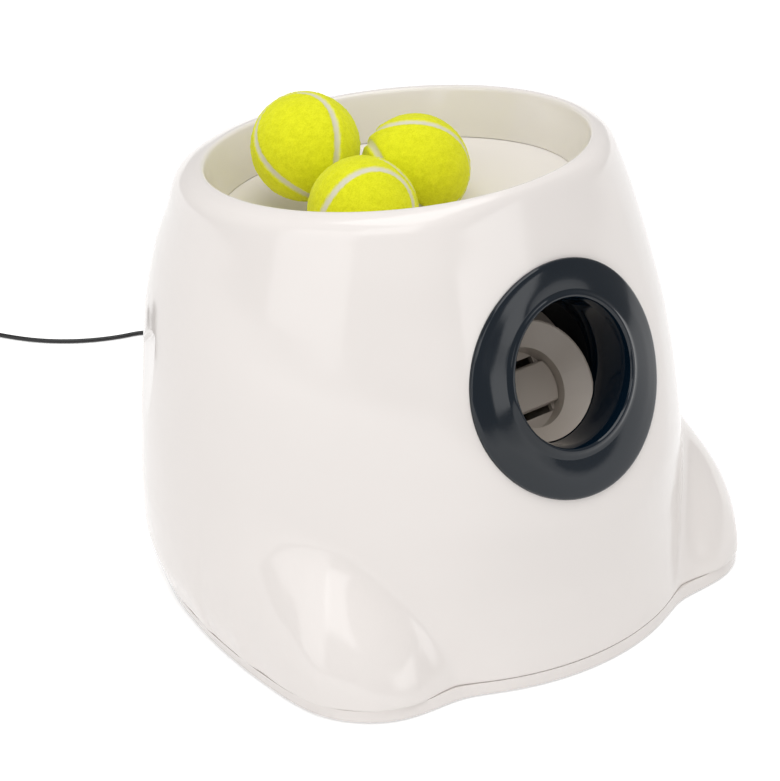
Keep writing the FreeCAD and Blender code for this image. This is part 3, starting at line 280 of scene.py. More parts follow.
def softRubber(name, colour, dusty):
    material, tree, shader, place = newMaterial(name, {
        "IOR": rubber["ior"], "Specular IOR Level": rubber["specular"]})
    drift = uneven(tree, place, rubber["dustSize"], detail=3.0)
    tint = addNode(tree, "ShaderNodeMix", colourMix, {"Factor": drift, mixA: srgb(colour), mixB: srgb(dusty)})
    tree.links.new(tint.outputs[mixed], shader.inputs["Base Color"])
    tree.links.new(uneven(tree, place, rubber["glossSize"], rubber["gloss"]), shader.inputs["Roughness"])
    pits = addNode(tree, "ShaderNodeTexNoise", inputs={
        "Vector": place, "Scale": perMetre(rubber["pitSize"]), "Detail": 2.0})
    relief = addNode(tree, "ShaderNodeBump", inputs={
        "Height": pits.outputs["Fac"], "Strength": rubber["pitStrength"],
        "Distance": rubber["pitDepth"] * mm})
    tree.links.new(relief.outputs["Normal"], shader.inputs["Normal"])
    return material


# Needled wool and nylon felt: matt and fibrous, with a soft bright rim. Tufts lie under the fibres, which are
# drawn 0.67 mm apart, coarser than real ones, so that they show.
felt = {
    "tufts": {"size": 3.03, "detail": 3.0, "fineness": 0.6, "between": (0.3, 0.62),
              "colours": ("D4D60A", "E9EB20"), "strength": 0.55, "depth": 0.6},
    "fibres": {"size": 0.667, "detail": 5.0, "fineness": 0.72, "between": (0.32, 0.66),
               "colours": ("CFD008", "F4F43C"), "strength": 0.6, "depth": 0.35},
    "fibreShare": 0.5,
    "roughness": 0.95,
    "specular": 0.12,
    "rimShare": 0.55,
    "rimSpread": 0.45,
    "rim": "F2F97A",
    "seam": "DAD6C4",
}


def tennisFelt(name):
    material, tree, shader, place = newMaterial(name, {
        "Roughness": felt["roughness"], "Specular IOR Level": felt["specular"],
        "Sheen Weight": felt["rimShare"], "Sheen Roughness": felt["rimSpread"],
        "Sheen Tint": srgb(felt["rim"])})
    tints, relief = [], {}
    for layer in (felt["tufts"], felt["fibres"]):
        hair = addNode(tree, "ShaderNodeTexNoise", inputs={
            "Vector": place, "Scale": perMetre(layer["size"]), "Detail": layer["detail"],
            "Roughness": layer["fineness"]}).outputs["Fac"]
        dark, pale = layer["colours"]
        low, high = layer["between"]
        drift = addNode(tree, "ShaderNodeMapRange", inputs={
            "Value": hair, "From Min": low, "From Max": high}).outputs["Result"]
        tints.append(addNode(tree, "ShaderNodeMix", colourMix, {
            "Factor": drift, mixA: srgb(dark), mixB: srgb(pale)}).outputs[mixed])
        raised = addNode(tree, "ShaderNodeBump", inputs={
            "Height": hair, "Strength": layer["strength"], "Distance": layer["depth"] * mm, **relief})
        relief = {"Normal": raised.outputs["Normal"]}
    tree.links.new(relief["Normal"], shader.inputs["Normal"])
    wool = addNode(tree, "ShaderNodeMix", colourMix, {
        "Factor": felt["fibreShare"], mixA: tints[0], mixB: tints[1]}).outputs[mixed]
    seam = addNode(tree, "ShaderNodeAttribute", {"attribute_name": "seam"}).outputs["Fac"]
    cover = addNode(tree, "ShaderNodeMix", colourMix, {"Factor": seam, mixA: wool, mixB: srgb(felt["seam"])})
    tree.links.new(cover.outputs[mixed], shader.inputs["Base Color"])
    return material


# glass-fibre board under green solder resist: fairly glossy, and paler over its copper tracks
board = {
    "roughness": 0.35,
    "ior": 1.5,
    "trackSpacing": 4.55,
    "trackEdge": (0.04, 0.1),
    "overTracks": "2B6B41",
    "besideTracks": "174D2B",
}


def printedBoard(name):
    material, tree, shader, place = newMaterial(name, {"Roughness": board["roughness"], "IOR": board["ior"]})
    tracks = addNode(tree, "ShaderNodeTexVoronoi", {"feature": "DISTANCE_TO_EDGE"}, {
        "Vector": place, "Scale": perMetre(board["trackSpacing"])}).outputs["Distance"]
    drift = addNode(tree, "ShaderNodeMapRange", inputs={
        "Value": tracks, "From Min": board["trackEdge"][0], "From Max": board["trackEdge"][1]})
    tint = addNode(tree, "ShaderNodeMix", colourMix, {
        "Factor": drift.outputs["Result"], mixA: srgb(board["overTracks"]),
        mixB: srgb(board["besideTracks"])})
    tree.links.new(tint.outputs[mixed], shader.inputs["Base Color"])
    return material


# a grain is the width of its pits, its strength and its depth; etched grain is drawn coarser than it is
paint = {
    # ABS from a polished tool: the lamps show in it as soft-edged mirror shapes
    "housing_white": mouldedPlastic("glossyWhiteAbs", "EBE5E1", "E9E3DF", (0.1, 0.15)),
    "ring_navy": mouldedPlastic("glossyNavyAbs", "061420", "04101A", (0.07, 0.12), specular=0.4),
    # ABS and polycarbonate from an etched tool: broad dull highlights
    "barrel_black": mouldedPlastic("blackAbs", "0B0C0E", "090A0C", (0.5, 0.62), (0.714, 0.3, 0.03), 0.3),
    "panel_grey": mouldedPlastic("graphiteAbs", "2C3036", "282B30", (0.4, 0.5), (0.667, 0.35, 0.04)),
    "adapter_black": mouldedPlastic("blackPolycarbonate", "121214", "0E0E10", (0.36, 0.46),
                                    (0.769, 0.3, 0.04)),
    # nylon, silicone and soft PVC straight from the tool: waxy, neither matt nor glossy
    # the cream nylon is painted darker than the part is: painted shade for the shadow it lies in, deep inside
    # the barrel
    "striker_cream": mouldedPlastic("creamNylonWithPaintedShade", "AFA59A", "A89E94", (0.38, 0.48)),
    "gear_nylon": mouldedPlastic("naturalNylon", "E4E0D4", "DBD6C8", (0.36, 0.46)),
    "button_grey": mouldedPlastic("greySilicone", "A7AAAD", "9EA1A4", (0.5, 0.6)),
    "lead_black": mouldedPlastic("blackPvc", "0B0B0D", "080809", (0.32, 0.44)),
    # diffuser lenses and the cells' shrunk sleeves: smooth and fairly glossy
    "light_clear": mouldedPlastic("frostedLens", "CFE3CF", "C6DAC6", (0.2, 0.3)),
    "cell_wrap": mouldedPlastic("cellSleeve", "39424E", "303843", (0.25, 0.35)),
    "pinion_brass": turnedBrass("turnedBrass", "B8924A", "D9B768"),
    "plate_steel": brushedSteel("pressedSteel", "A9ABAE"),
    "motor_can": brushedSteel("motorCanSteel", "B4B6B8"),
    "spring_steel": brushedSteel("springSteel", "8E9194"),
    "pin_nickel": brushedSteel("nickelPlate", "C9C8C4"),
    "rubber_black": softRubber("blackRubber", "1B1B1D", "2A2A2C"),
    "tie_grey": softRubber("blackStrap", "161617", "2A2A2C"),
    "board_green": printedBoard("solderResist"),
    "felt_yellow": tennisFelt("yellowFelt"),
}

creaseAngle = 32
slotOfNode = {part["node"]: part["material_slot"] for part in frame["record"]["subparts"]}
for name, obj in nodes.items():
    obj.data.materials.clear()
    obj.data.materials.append(paint[slotOfNode[name]])
    smoothByAngle(obj, creaseAngle)
print("materials set on", len(nodes), "nodes")


# The supply lead. Its route runs from behind the plug to the wound coil, and the coil is laid in layers: each
# layer's height, and how far out its strands lie, counted in strand gaps.
lead = {
    "diameter": 2.2,
    "length": 1400.0,
    "leaving": [(0, 14, -1.5), (1, 31, -14)],           # counted from the end of the plug
    "route": [(28, 198, 72), (32, 203, 40), (37, 209, 15), (45, 221, 1.2), (53, 236, 1.2), (54, 252, 1.2),
              (44, 264, 1.2), (28, 268, 1.2), (11, 277, 1.2), (-3.5, 290, 1.2), (-14, 306, 1.2),
              (-20.5, 321, 1.2), (-24, 336, 1.2)],
    "coilCentre": (-37.0, 352.0),
    "coilRadius": 12.1,
    "pointsPerTurn": 12,
    "strandGap": 2.25,
    "layers": [(1.3, [1, 0, -1]), (3.3, [-1.5, -0.5, 0.5, 1.5]), (5.55, [1.5, 0.5, -0.5, -1.5]),
               (7.55, [-1, 0, 1])],
    "crossFrom": 0.7,           # share of a turn after which a strand moves over to the next place
    "tail": [(-46.5, 364.2, 8.6), (-56.5, 358.0, 11.0), (-63.0, 352.8, 13.8)],
    "intoAdapter": 0.3,
    "adapterEntry": 14.1,
}


def coilPoints():
    gap, count, crossFrom = lead["strandGap"], lead["pointsPerTurn"], lead["crossFrom"]
    places = [(step * gap, height) for height, steps in lead["layers"] for step in steps]
    swell = 4 / (3 + math.cos(2 * math.pi / count))     # control points stand outside their curve
    points = []
    for i in range((len(places) - 1) * count + count // 4 + 1):
        lap = i // count
        share = max(0.0, (i % count) / count - crossFrom) / (1 - crossFrom)
        near, far = places[lap], places[min(lap + 1, len(places) - 1)]
        out, height = (a + (b - a) * share for a, b in zip(near, far))
        turn = 2 * math.pi * i / count
        reach = (lead["coilRadius"] + out) * swell
        points.append(Vector((lead["coilCentre"][0] + reach * math.cos(turn),
                              lead["coilCentre"][1] + reach * math.sin(turn), height)))
    return points


def makeLead():
    low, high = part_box("dc_plug")
    exitPoint = Vector(((low[0] + high[0]) / 2, high[1], (low[2] + high[2]) / 2)) / mm
    low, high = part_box("adapter_body")
    end = Vector((high[0] / mm - lead["intoAdapter"], (low[1] + high[1]) / 2 / mm, lead["adapterEntry"]))
    points = [exitPoint] + [exitPoint + Vector(p) for p in lead["leaving"]]
    points += [Vector(p) for p in lead["route"]] + coilPoints() + [Vector(p) for p in lead["tail"]] + [end]
    data = bpy.data.curves.new("supplyLead", "CURVE")
    data.dimensions = "3D"
    data.bevel_depth = lead["diameter"] / 2 * mm
    data.bevel_resolution = 3
    data.resolution_u = 5
    data.use_fill_caps = True
    spline = data.splines.new("NURBS")
    spline.points.add(len(points) - 1)
    for point, place in zip(spline.points, points):
        point.co = (*(place * mm), 1.0)
    spline.order_u = 3
    spline.use_endpoint_u = True
    data.materials.append(paint["lead_black"])
    cable = link(bpy.data.objects.new("supplyLead", data))
    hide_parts("power_cord", "cord_coil", "cord_tail")
    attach(cable, "housing")


makeLead()
print("supply lead laid")

# The housing's moulding: the solid's form, drawn smoother and with its small radii.
housing = {
    "splitHeight": 7.0,
    "rimHeight": 204.9,
    "rimRadius": 88.5,
    "rimShift": 13.8,
    "rimTilt": 8.7,
    "bowlHeight": 201.0,
    "bowlShift": 15.5,
    "bowlTilt": 9.0,
    "seamRadius": 80.0,
    "seamDrop": 19.0,
    "footReach": 25.0,
    "footHeight": 69.4,
    "footSteepness": 1.8,
    "footRound": 0.3,
    "footAngle": 56.0,
    "footBlend": 5.0,
    "footBlendShare": 0.35,
    "footsBelow": 80.0,
    "sideTuck": 2.8,
    "wall": 2.5,
    "ringForward": 104.1,
    "ringHeight": 134.75,
    "launchTilt": 18.6,
    "frontCurve": 300.0,
    "frontFullness": 4.2,
    "frontBlend": 6.0,
    "mouthRise": 2.8,
    "tubeRadius": 34.0,
    "tubeClearance": 0.3,
    "tubeSides": 96,
    "mouthCut": (-30, 40),      # depths between which the barrel is drilled through the front
    "creaseAngle": 40,
}
tilt = math.radians(housing["launchTilt"])

# height, radius, centre's shift back, lean in degrees
roundBody = [(1.2, 121.2, -6.5, 0.0), (7.0, 122.5, -4.55, 0.0), (24.0, 125.0, 0.5, 0.0),
             (72.0, 123.4, 4.0, 0.0), (100.0, 121.0, 5.3, 0.0), (133.0, 117.3, 8.6, 0.249),
             (160.0, 111.25, 10.8, 1.66), (181.0, 104.8, 12.0, 4.067), (195.6, 100.0, 14.4, 6.8),
             (199.3, 98.2, 14.6, 7.66), (202.9, 94.3, 14.3, 8.35), (204.9, 89.1, 13.8, 8.7)]

# shares of a foot's reach and height, by degrees from the foot's middle
lobeReach = [(-28, 0.0), (-23, 0.04), (-20, 0.19), (-13, 0.73), (-6, 0.965), (1, 0.99), (10, 0.69), (17, 0.4),
             (22, 0.28), (26, 0.16), (34, 0.0)]
lobeTop = [(-27, 0.18), (-20, 0.42), (-9, 0.77), (0, 0.95), (12, 1.0), (21, 1.03), (37, 0.98), (56, 0.92)]

# shares of the tuck behind the feet and of the full front, by degrees from straight ahead and by height
tuckAround = [(90, 0.0), (102, 1.0), (116, 0.9), (132, 0.0)]
tuckUp = [(10, 1.0), (30, 0.5), (50, 0.0)]
fullAround = [(20, 1.0), (36, 0.5), (52, 0.0)]
fullUp = [(40, 0.0), (62, 0.45), (84, 1.0), (110, 1.0), (136, 0.85), (168, 0.0)]


# a smooth curve through a table's rows that never overshoots them
def smooth(table, x, column=1):
    if x <= table[0][0]:
        return table[0][column]
    if x >= table[-1][0]:
        return table[-1][column]
    i = max(j for j in range(len(table) - 1) if table[j][0] <= x)
    near, far = table[i], table[i + 1]
    span = far[0] - near[0]
    slope = (far[column] - near[column]) / span
    slopes = []
    for a, b, c in ((i - 1, i, i + 1), (i, i + 1, i + 2)):
        if a < 0 or c >= len(table):
            slopes.append(0.0 if a < 0 else slope)
            continue
        before = (table[b][column] - table[a][column]) / (table[b][0] - table[a][0])
        after = (table[c][column] - table[b][column]) / (table[c][0] - table[b][0])
        product = before * after
        slopes.append(2 * product / (before + after) if product > 0 else 0.0)
    t = (x - near[0]) / span
    return ((2 * t**3 - 3 * t**2 + 1) * near[column] + (t**3 - 2 * t**2 + t) * span * slopes[0]
            + (3 * t**2 - 2 * t**3) * far[column] + (t**3 - t**2) * span * slopes[1])


# the smaller of two, with the corner between them rounded
def softLess(a, b, blend):
    h = max(blend - abs(a - b), 0.0) / blend
    return min(a, b) - h * h * blend / 4


def gentleStep(x, width):
    t = min(max(x / width + 0.5, 0.0), 1.0)
    return t * t * (3 - 2 * t)


# how far a front foot stands out: upright at the floor, a round bend, then a straight slope up to the crease
def lobe(degrees, height):
    off = degrees - housing["footAngle"]
    reach = housing["footReach"] * smooth(lobeReach, off)
    top = housing["footHeight"] * smooth(lobeTop, off)
    steep, bend = housing["footSteepness"], housing["footRound"]
    above = height / top - 1 + 1 / steep
    turn = max(bend - abs(above), 0.0) / bend
    rise = reach * (1 - steep * (max(above, 0.0) + turn * turn * bend / 4))
    blend = housing["footBlendShare"] * reach + 0.01        # never nothing
    return -softLess(-rise, 0.0, min(housing["footBlend"], blend))


# polar radius of the leaning outline; the angle is in radians from straight ahead
def bodyRadius(angle, height, radius, shift, lean):
    ahead = math.cos(angle)
    around = abs(math.degrees(math.atan2(math.sin(angle), ahead)))
    result = radius
    if ahead > 0.05:            # in front, where the flatter face cuts the round body
        reach = (math.cos(tilt) * (shift + housing["ringForward"])
                 - math.sin(tilt) * (height - housing["ringHeight"]))
        a = math.sin(angle) ** 2 / (2 * housing["frontCurve"])
        b = ahead * math.cos(tilt - lean)
        face = (-b + math.sqrt(b * b + 4 * a * reach)) / (2 * a) if a > 1e-9 else reach / b
        full = housing["frontFullness"] * smooth(fullAround, around) * smooth(fullUp, height)
        result = softLess(radius + full, face, housing["frontBlend"])
    if height < housing["footsBelow"]:
        tuck = housing["sideTuck"] * smooth(tuckAround, around) * smooth(tuckUp, height)
        result += lobe(around, height) - tuck
    return result


def outlineRow(turns, height, inset=0.0, sink=None):
    radius, shift, lean = (smooth(roundBody, height, column) for column in (1, 2, 3))
    lean = math.radians(lean)
    points = []
    for degrees in turns:
        angle = math.radians(degrees)
        r = bodyRadius(angle, height, radius, shift, lean) - inset
        if sink:
            r -= sink(degrees, height, r)
        ahead = r * math.cos(angle)
        points.append((r * math.sin(angle), shift - ahead * math.cos(lean), height + ahead * math.sin(lean)))
    return points


# circle in the lip's leaning plane, or in the bowl's, and under it by the drop
def rimRow(turns, radius, drop, plane="rim"):
    lean = math.radians(housing[plane + "Tilt"])
    points = []
    for degrees in turns:
        angle = math.radians(degrees)
        ahead = radius * math.cos(angle)
        points.append((radius * math.sin(angle),
                       housing[plane + "Shift"] - ahead * math.cos(lean) - drop * math.sin(lean),
                       housing[plane + "Height"] + ahead * math.sin(lean) - drop * math.cos(lean)))
    return points


# places from the first stop to just before the last; each stop has the spacing that follows it
def spaced(*stops):
    places = []
    for (start, spacing), (end, _) in zip(stops, stops[1:]):
        count = max(1, round((end - start) / spacing))
        places += [start + (end - start) * i / count for i in range(count)]
    return places


# a place by its depth along the barrel from the ring, and its rise and side from the barrel's axis
def barrelPoint(depth, rise=0.0, side=0.0):
    rise += housing["mouthRise"]
    return Vector((side,
                   -housing["ringForward"] + depth * math.cos(tilt) + rise * math.sin(tilt),
                   housing["ringHeight"] - depth * math.sin(tilt) + rise * math.cos(tilt)))


def barrelDrill(start, end):
    radius, count = housing["tubeRadius"] + housing["tubeClearance"], housing["tubeSides"]
    points = []
    for depth in (start, end):
        for i in range(count):
            turn = 2 * math.pi * i / count
            points.append(barrelPoint(depth, radius * math.sin(turn), radius * math.cos(turn)) * mm)
    faces = ringFaces(2, count) + [tuple(range(count)), tuple(reversed(range(count, 2 * count)))]
    return facesOut(meshObject("drill", points, faces))


# recess for the control panel, with a flat upright floor
panel = {
    "halfWidth": 41.0,
    "halfHeight": 15.0,
    "middle": 122.0,
    "floor": 101.8,         # its floor's distance behind the middle of the base
    "corner": 3.0,
    "edge": 1.1,            # width over which its walls sink
    "bodyRadius": 118.6,    # of the housing at the recess's height
    "margin": 5.0,
    "backward": -0.85,      # cosine of the angle from straight ahead past which the recess is looked for
}

# hollow for the fingers in each side: flat, with a step above it and behind it, and run out ahead and below
scoop = {
    "angle": 120.0,
    "top": 131.0,
    "depth": 1.52,
    "fall": 7.7,                    # degrees by which its floor leans out to the skin below
    "rearTop": -12.3,               # where the rear step starts at the top, along the skin from the middle
    "rearSlope": (57.3, 36.7),      # how far back that step runs, for so far down
    "edge": 1.0,
    "around": (85, 145),
    "heights": (85, 135),
}


def rearPocket(degrees, height, r):
    angle = math.radians(degrees)
    halfHeight, corner = panel["halfHeight"], panel["corner"]
    up = abs(height - panel["middle"])
    if math.cos(angle) > panel["backward"] or up > halfHeight + panel["margin"]:
        return 0.0
    x = abs(r * math.sin(angle)) - panel["halfWidth"] + corner
    z = up - halfHeight + corner
    outside = math.hypot(max(x, 0), max(z, 0)) + min(max(x, z), 0) - corner
    wanted = (panel["floor"] - smooth(roundBody, height, 2)) / -math.cos(angle)
    return gentleStep(-outside, panel["edge"]) * max(0.0, r - wanted)


def fingerScoop(degrees, height, r):
    around = 360 - degrees if degrees > 180 else degrees
    first, last = scoop["around"]
    low, high = scoop["heights"]
    if not first < around < last or not low < height < high:
        return 0.0
    off = math.radians(around - scoop["angle"])
    along, below = r * math.sin(off), scoop["top"] - height
    run, drop = scoop["rearSlope"]
    ahead = ((scoop["rearTop"] - along) * drop + below * run) / math.hypot(run, drop)
    inside = gentleStep(min(ahead, below), scoop["edge"])
    rise = below * math.tan(math.radians(scoop["fall"]))
    floor = smooth(roundBody, scoop["top"], 1) - scoop["depth"] + rise
    return inside * max(0.0, r - floor / math.cos(off))


def housingSink(degrees, height, r):
    return rearPocket(degrees, height, r) + fingerScoop(degrees, height, r)


# The skin is one band of rows: out at the parting line, up the outside, over the lip, down the bowl's wall to
# the seam, and back down the inside. Rows and columns are close together at the recess, hollows and lip.
def makeHousing():
    side = 180 - math.degrees(math.asin(panel["halfWidth"] / panel["bodyRadius"]))
    beside, above = 1.2, 1.5        # degrees and millimetres on each side of the recess's walls
    half = spaced((0, 1.0), (94, 0.45), (134, 1.2), (side - beside, 0.16), (side + beside, 1.2), (180, 0))
    turns = half + [180] + [360 - d for d in reversed(half[1:])]
    middle = panel["middle"]
    bottom, top = middle - panel["halfHeight"], middle + panel["halfHeight"]
    heights = spaced((8.2, 2.0), (70, 2.4), (bottom - above, 0.4), (bottom + above, 1.0), (128, 0.5),
                     (134, 1.0), (top - above, 0.4), (top + above, 2.4), (181, 1.4), (195, 0.5),
                     (housing["rimHeight"], 0))
    split, wall = housing["splitHeight"], housing["wall"]
    partingLine = [(0, wall), (0, 0.7), (0.1, 0.25), (0.4, 0.06)]
    rows = [outlineRow(turns, split + up, inset) for up, inset in partingLine]
    rows += [outlineRow(turns, h, 0.0, housingSink) for h in heights]
    crest, seam, drop = housing["rimRadius"], housing["seamRadius"], housing["seamDrop"]
    lip = [(0.2, 0.0), (-0.6, 0.1), (-1.2, 0.42), (-1.65, 0.95), (-1.95, 1.7), (-2.2, 2.8), (-2.6, 4.6)]
    rows += [rimRow(turns, crest + out, down) for out, down in lip]
    head, foot = rows[-1], rimRow(turns, seam + 0.3, drop - 0.6, "bowl")
    rows += [[Vector(a).lerp(Vector(b), t) for a, b in zip(head, foot)] for t in (0.25, 0.5, 0.75, 1.0)]
    bowlFoot = [(seam + 0.1, drop - 0.15), (seam + 0.5, drop), (seam + wall, drop), (crest - 2.6, 7.0)]
    rows += [rimRow(turns, radius, down, "bowl") for radius, down in bowlFoot]
    rows += [outlineRow(turns, h, wall) for h in (192, 186, 178, 165, 150)]
    besideRecess = (top + 1.4, top + 0.2, middle, bottom, bottom - 1.4)
    rows += [outlineRow(turns, h, wall, rearPocket) for h in besideRecess]
    rows += [outlineRow(turns, h, wall) for h in (92, 75, 62, 52, 40, 28, 16)]
    points = [Vector(p) * mm for row in rows for p in row]
    faces = ringFaces(len(rows), len(turns), True)
    skin = meshObject("housingMoulding", points, faces, paint["housing_white"])
    facesOut(skin)
    cutBy(skin, barrelDrill(*housing["mouthCut"]))
    smoothByAngle(skin, housing["creaseAngle"])
    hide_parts("body_shell")
    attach(skin, "housing")


makeHousing()
print("housing moulded")

# the bowl's floor, a funnel under the seam with its short throat cut to the barrel
bowl = {
    "slope": 28.5,
    "throatRadius": 28.5,
    "throatLength": 38.0,
    "throatCut": (0, 400),
    "wall": 2.5,
    "gap": 0.16,
    "columns": 240,
    "creaseAngle": 40,
}


def makeBowl():
    seam, top = housing["seamRadius"], housing["seamDrop"] + bowl["gap"]
    slope = math.tan(math.radians(bowl["slope"]))
    throat, wall = bowl["throatRadius"], bowl["wall"]
    foot = top + (seam - throat) * slope
    end = foot + bowl["throatLength"]
    # radius and drop, from the seam down the inside and back up the outside
    section = [(seam - 0.1, top + 0.1), (seam - 0.5, top + 0.25)]
    section += [(r, top + (seam - r) * slope) for r in (74, 66, 58, 50, 42, 36, throat + 4)]
    section += [(throat + 2.2, foot - 2.2 * slope + 0.25), (throat + 0.8, foot + 0.3),
                (throat + 0.2, foot + 1.6), (throat, foot + 3.5), (throat, end), (throat + wall, end),
                (throat + wall, foot + 3.5), (throat + 5, foot - 3 * slope + 2.6),
                (seam + wall, top + wall + 0.2), (seam + 5.1, top + wall - 0.6), (seam + 7.9, top - 6.0),
                (seam + 5.9, top - 6.0), (seam + 3.0, top), (seam + 0.4, top)]
    turns = [i * 360 / bowl["columns"] for i in range(bowl["columns"])]
    points = [Vector(p) * mm for radius, drop in section for p in rimRow(turns, radius, drop, "bowl")]
    faces = ringFaces(len(section), len(turns), True)
    funnel = meshObject("bowlFunnel", points, faces, paint["housing_white"])
    facesOut(funnel)
    cutBy(funnel, barrelDrill(*bowl["throatCut"]))
    smoothByAngle(funnel, bowl["creaseAngle"])
    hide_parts("hopper_funnel")
    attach(funnel, "housing")


makeBowl()
print("bowl made")

# the dark ring round the mouth: a flange bent to the housing's front, a rolled lip and a sleeve
ring = {
    "radius": 53.0,
    "thickness": 2.2,
    "mouthRadius": 34.0,
    "mouthLip": 2.7,
    "boreRadius": 31.7,
    "sleeveDepth": 25.0,
    "columns": 192,
    "creaseAngle": 50,
    "faceBetween": (-25.0, 45.0),
}


# how far a point stands outside the housing; its height on the leaning outline is found step by step
def outsideBody(point):
    height = point.z
    for _ in range(10):
        shift, lean = smooth(roundBody, height, 2), math.radians(smooth(roundBody, height, 3))
        ahead = (shift - point.y) / math.cos(lean)
        height = point.z - ahead * math.sin(lean)
    radius = smooth(roundBody, height, 1)
    angle = math.atan2(point.x, ahead)
    return math.hypot(point.x, ahead) - bodyRadius(angle, height, radius, shift, lean)


# depth of the housing's front behind the ring's own plane
def faceDepth(side, rise):
    near, far = ring["faceBetween"]
    for _ in range(22):
        middle = (near + far) / 2
        if outsideBody(barrelPoint(middle, rise, side)) > 0:
            near = middle
        else:
            far = middle
    return (near + far) / 2


def makeRing():
    edge, deep, t, lip = ring["radius"], ring["sleeveDepth"], ring["thickness"], ring["mouthLip"]
    mouth, bore, tube = ring["mouthRadius"], ring["boreRadius"], housing["tubeRadius"]
    # radius, height over the face, share of the face's curve, share of the drop to the flange's middle
    section = [(edge - 0.3, -0.9, 1, 1), (edge, -0.4, 1, 1), (edge, t - 1.3, 1, 1),
               (edge - 0.2, t - 0.7, 1, 1), (edge - 0.7, t - 0.2, 1, 1), (edge - 1.6, t, 1, 1),
               (edge - 4.0, t + 0.05, 0.97, 0.95), (edge - 7.0, t + 0.1, 0.85, 0.85),
               (edge - 10.0, t, 0.68, 0.68), (mouth + 5.5, t - 0.1, 0.5, 0.5),
               (mouth + 3.6, t - 0.3, 0.27, 0.27), (mouth + 2.3, lip - 0.9, 0.1, 0.1),
               (mouth + 1.5, lip - 0.35, 0.03, 0.03), (mouth + 0.8, lip, 0, 0),
               (mouth + 0.1, lip + 0.2, 0, 0), (mouth - 0.6, lip - 0.1, 0, 0),
               (bore + 1.2, lip - 1.2, 0, 0), (bore + 0.7, lip - 2.6, 0, 0),
               (bore + 0.25, -1.4, 0, 0), (bore, -3.5, 0, 0), (bore, -15.0, 0, 0), (bore, -deep + 0.4, 0, 0),
               (bore + 0.4, -deep, 0, 0), (tube, -deep, 0, 0), (tube, -12.0, 0, 0), (tube, -0.9, 1, 0)]
    points = []
    for radius, height, share, low in section:
        for i in range(ring["columns"]):
            turn = 2 * math.pi * i / ring["columns"]
            side, rise = radius * math.cos(turn), radius * math.sin(turn) - housing["mouthRise"] * low
            depth = share * faceDepth(side, rise) - height
            points.append(barrelPoint(depth, rise, side) * mm)
    faces = ringFaces(len(section), ring["columns"], True)
    trumpet = meshObject("launchRing", points, faces, paint["ring_navy"])
    facesOut(trumpet)
    smoothByAngle(trumpet, ring["creaseAngle"])
    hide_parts("launch_ring")
    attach(trumpet, "housing")


makeRing()
print("ring turned")

# Felt balls. Each one's turns about X, Y and Z bring its seam round, and the felt swells beside the seam.
balls = {
    "radius": 25.0,
    "feltInside": 0.25,     # how far the middle of the fuzz lies inside the radius
    "fuzz": 0.098,
    "subdivisions": 6,
    "seamWave": 0.44,
    "seamPoints": 260,
    "seamWidth": 3.0,
    "seamDepth": 0.5,
    "seamEdge": {"outside": 0.5, "width": 0.9},
    "seed": 7,
    "swell": {"height": 0.22, "fromSeam": 1.6, "width": 1.3},
    "turns": {"ball_1": (33, 0, -176), "ball_2": (1, 61, 124), "ball_3": (-36, -36, -173)},
}


# the seam's closed curve on a ball of radius 1
def seamLine():
    wave = balls["seamWave"]
    points = []
    for i in range(balls["seamPoints"]):
        t = 2 * math.pi * i / balls["seamPoints"]
        p = Vector(((1 - wave) * math.cos(t) + wave * math.cos(3 * t),
                    (1 - wave) * math.sin(t) - wave * math.sin(3 * t),
                    2 * math.sqrt(wave * (1 - wave)) * math.sin(2 * t)))
        points.append(p.normalized())
    return np.array(points)


def makeBall(node, turns):
    low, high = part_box(node)
    centre = [(a + b) / 2 for a, b in zip(low, high)]
    work = bmesh.new()
    bmesh.ops.create_icosphere(work, subdivisions=balls["subdivisions"], radius=1.0)
    mesh = bpy.data.meshes.new(node + "Felt")
    work.to_mesh(mesh)
    work.free()
    count = len(mesh.vertices)
    unit = np.empty(count * 3)
    mesh.vertices.foreach_get("co", unit)
    unit = unit.reshape(-1, 3)
    unit /= np.linalg.norm(unit, axis=1)[:, None]
    line = seamLine()
    batches = np.array_split(unit, 40)      # spares memory
    nearest = np.concatenate([np.max(batch @ line.T, axis=1) for batch in batches])
    apart = np.arccos(np.clip(nearest, -1, 1)) * balls["radius"]
    half, edge, swell = balls["seamWidth"] / 2, balls["seamEdge"], balls["swell"]
    share = np.clip((half + edge["outside"] - apart) / edge["width"], 0, 1)
    share = share * share * (3 - 2 * share)
    raised = np.exp(-((apart - half - swell["fromSeam"]) / swell["width"]) ** 2) * swell["height"]
    rng = np.random.default_rng(balls["seed"] + len(node) + ord(node[-1]))
    fuzz = rng.normal(0, 1, count) * balls["fuzz"] * (1 - share)
    radius = (balls["radius"] - balls["feltInside"] - share * balls["seamDepth"] + raised + fuzz) * mm
    aboutX, aboutY, aboutZ = (Matrix.Rotation(math.radians(t), 3, axis) for t, axis in zip(turns, "XYZ"))
    spin = aboutZ @ aboutY @ aboutX
    placed = (unit * radius[:, None]) @ np.array(spin).T + np.array(centre)
    mesh.vertices.foreach_set("co", placed.ravel())
    seam = mesh.attributes.new("seam", "FLOAT", "POINT")
    seam.data.foreach_set("value", share)
    mesh.polygons.foreach_set("use_smooth", [True] * len(mesh.polygons))
    mesh.materials.append(paint["felt_yellow"])
    ball = link(bpy.data.objects.new(node + "Felt", mesh))
    body = next(b for b, members in frame["record"]["behaviour"]["bodies"].items() if node in members)
    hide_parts(node)
    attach(ball, body)


for node, turns in balls["turns"].items():
    makeBall(node, turns)
print("balls felted")

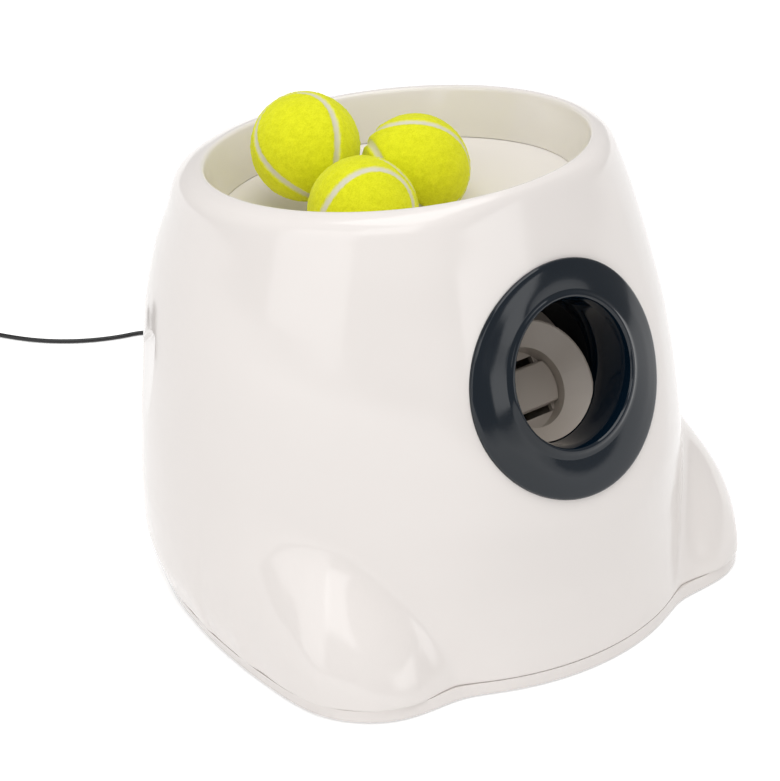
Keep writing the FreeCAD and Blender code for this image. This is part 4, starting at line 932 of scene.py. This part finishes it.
# The studio, in metres. A lamp has its place, the point it faces, its width and height, and its watts.
studio = {
    "floorColour": "F6F6F6",
    "floorSize": 40.0,
    "floorLift": (0.4, 0.8),        # what the paper itself adds for camera, gloss and glass, near and far
    "liftBetween": (0.6, 2.5),      # distances from the object at which that lift begins to grow and is full
    "worldColour": "FFFFFF",
    "worldStrength": 0.45,
    "lamps": {
        "windowSoftbox": ((-2.0, -0.2, 0.95), (0, 0, 0.15), (1.5, 1.6), 9),
        "frontSoftbox": ((-1.7, -1.5, 2.0), (0, 0, 0.1), (1.4, 1.2), 9),
        "stripSoftbox": ((0.69, -2.4, 0.48), (0, 0, 0.13), (1.5, 0.45), 3.6),
        "topSoftbox": ((0.0, -0.25, 2.4), (0, 0, 0.1), (2.2, 2.0), 31),
    },
}


# matt white paper, which looks white to the camera and in gloss and glass, and keeps the object's shadow
def makeFloor():
    half = studio["floorSize"] / 2
    corners = [(-half, -half, 0), (half, -half, 0), (half, half, 0), (-half, half, 0)]
    material, tree, shader, place = newMaterial("paperFloor", {
        "Base Color": srgb(studio["floorColour"]), "Roughness": 0.9, "Specular IOR Level": 0.1,
        "Emission Color": (1.0, 1.0, 1.0, 1.0)})
    floor = meshObject("studioFloor", corners, [(0, 1, 2, 3)], material)
    path = addNode(tree, "ShaderNodeLightPath").outputs
    seen = addNode(tree, "ShaderNodeMath", {"operation": "MAXIMUM"}, {
        0: path["Is Camera Ray"], 1: path["Is Glossy Ray"]})
    seen = addNode(tree, "ShaderNodeMath", {"operation": "MAXIMUM"}, {
        0: seen.outputs[0], 1: path["Is Transmission Ray"]})
    away = addNode(tree, "ShaderNodeVectorMath", {"operation": "LENGTH"}, {0: place})
    near, far = studio["liftBetween"]
    least, most = studio["floorLift"]
    glow = addNode(tree, "ShaderNodeMapRange", inputs={
        "Value": away.outputs["Value"], "From Min": near, "From Max": far, "To Min": least, "To Max": most})
    lift = addNode(tree, "ShaderNodeMath", {"operation": "MULTIPLY"}, {
        0: seen.outputs[0], 1: glow.outputs["Result"]})
    tree.links.new(lift.outputs[0], shader.inputs["Emission Strength"])


def makeLamp(name, place, aim, size, watts):
    data = bpy.data.lights.new(name, "AREA")
    data.shape = "RECTANGLE"
    data.size, data.size_y = size
    data.energy = watts
    lamp = link(bpy.data.objects.new(name, data))
    place, aim = Vector(place), Vector(aim)
    lamp.rotation_euler = (aim - place).to_track_quat("-Z", "Y").to_euler()
    lamp.location = place


def makeWorld():
    world = bpy.data.worlds.new("studioWorld")
    world.use_nodes = True
    background = next(n for n in world.node_tree.nodes if n.type == "BACKGROUND")
    background.inputs["Color"].default_value = srgb(studio["worldColour"])
    background.inputs["Strength"].default_value = studio["worldStrength"]
    bpy.context.scene.world = world


makeFloor()
makeWorld()
for name, lamp in studio["lamps"].items():
    makeLamp(name, *lamp)
bpy.context.scene.view_settings.view_transform = "Standard"
print("studio lit")
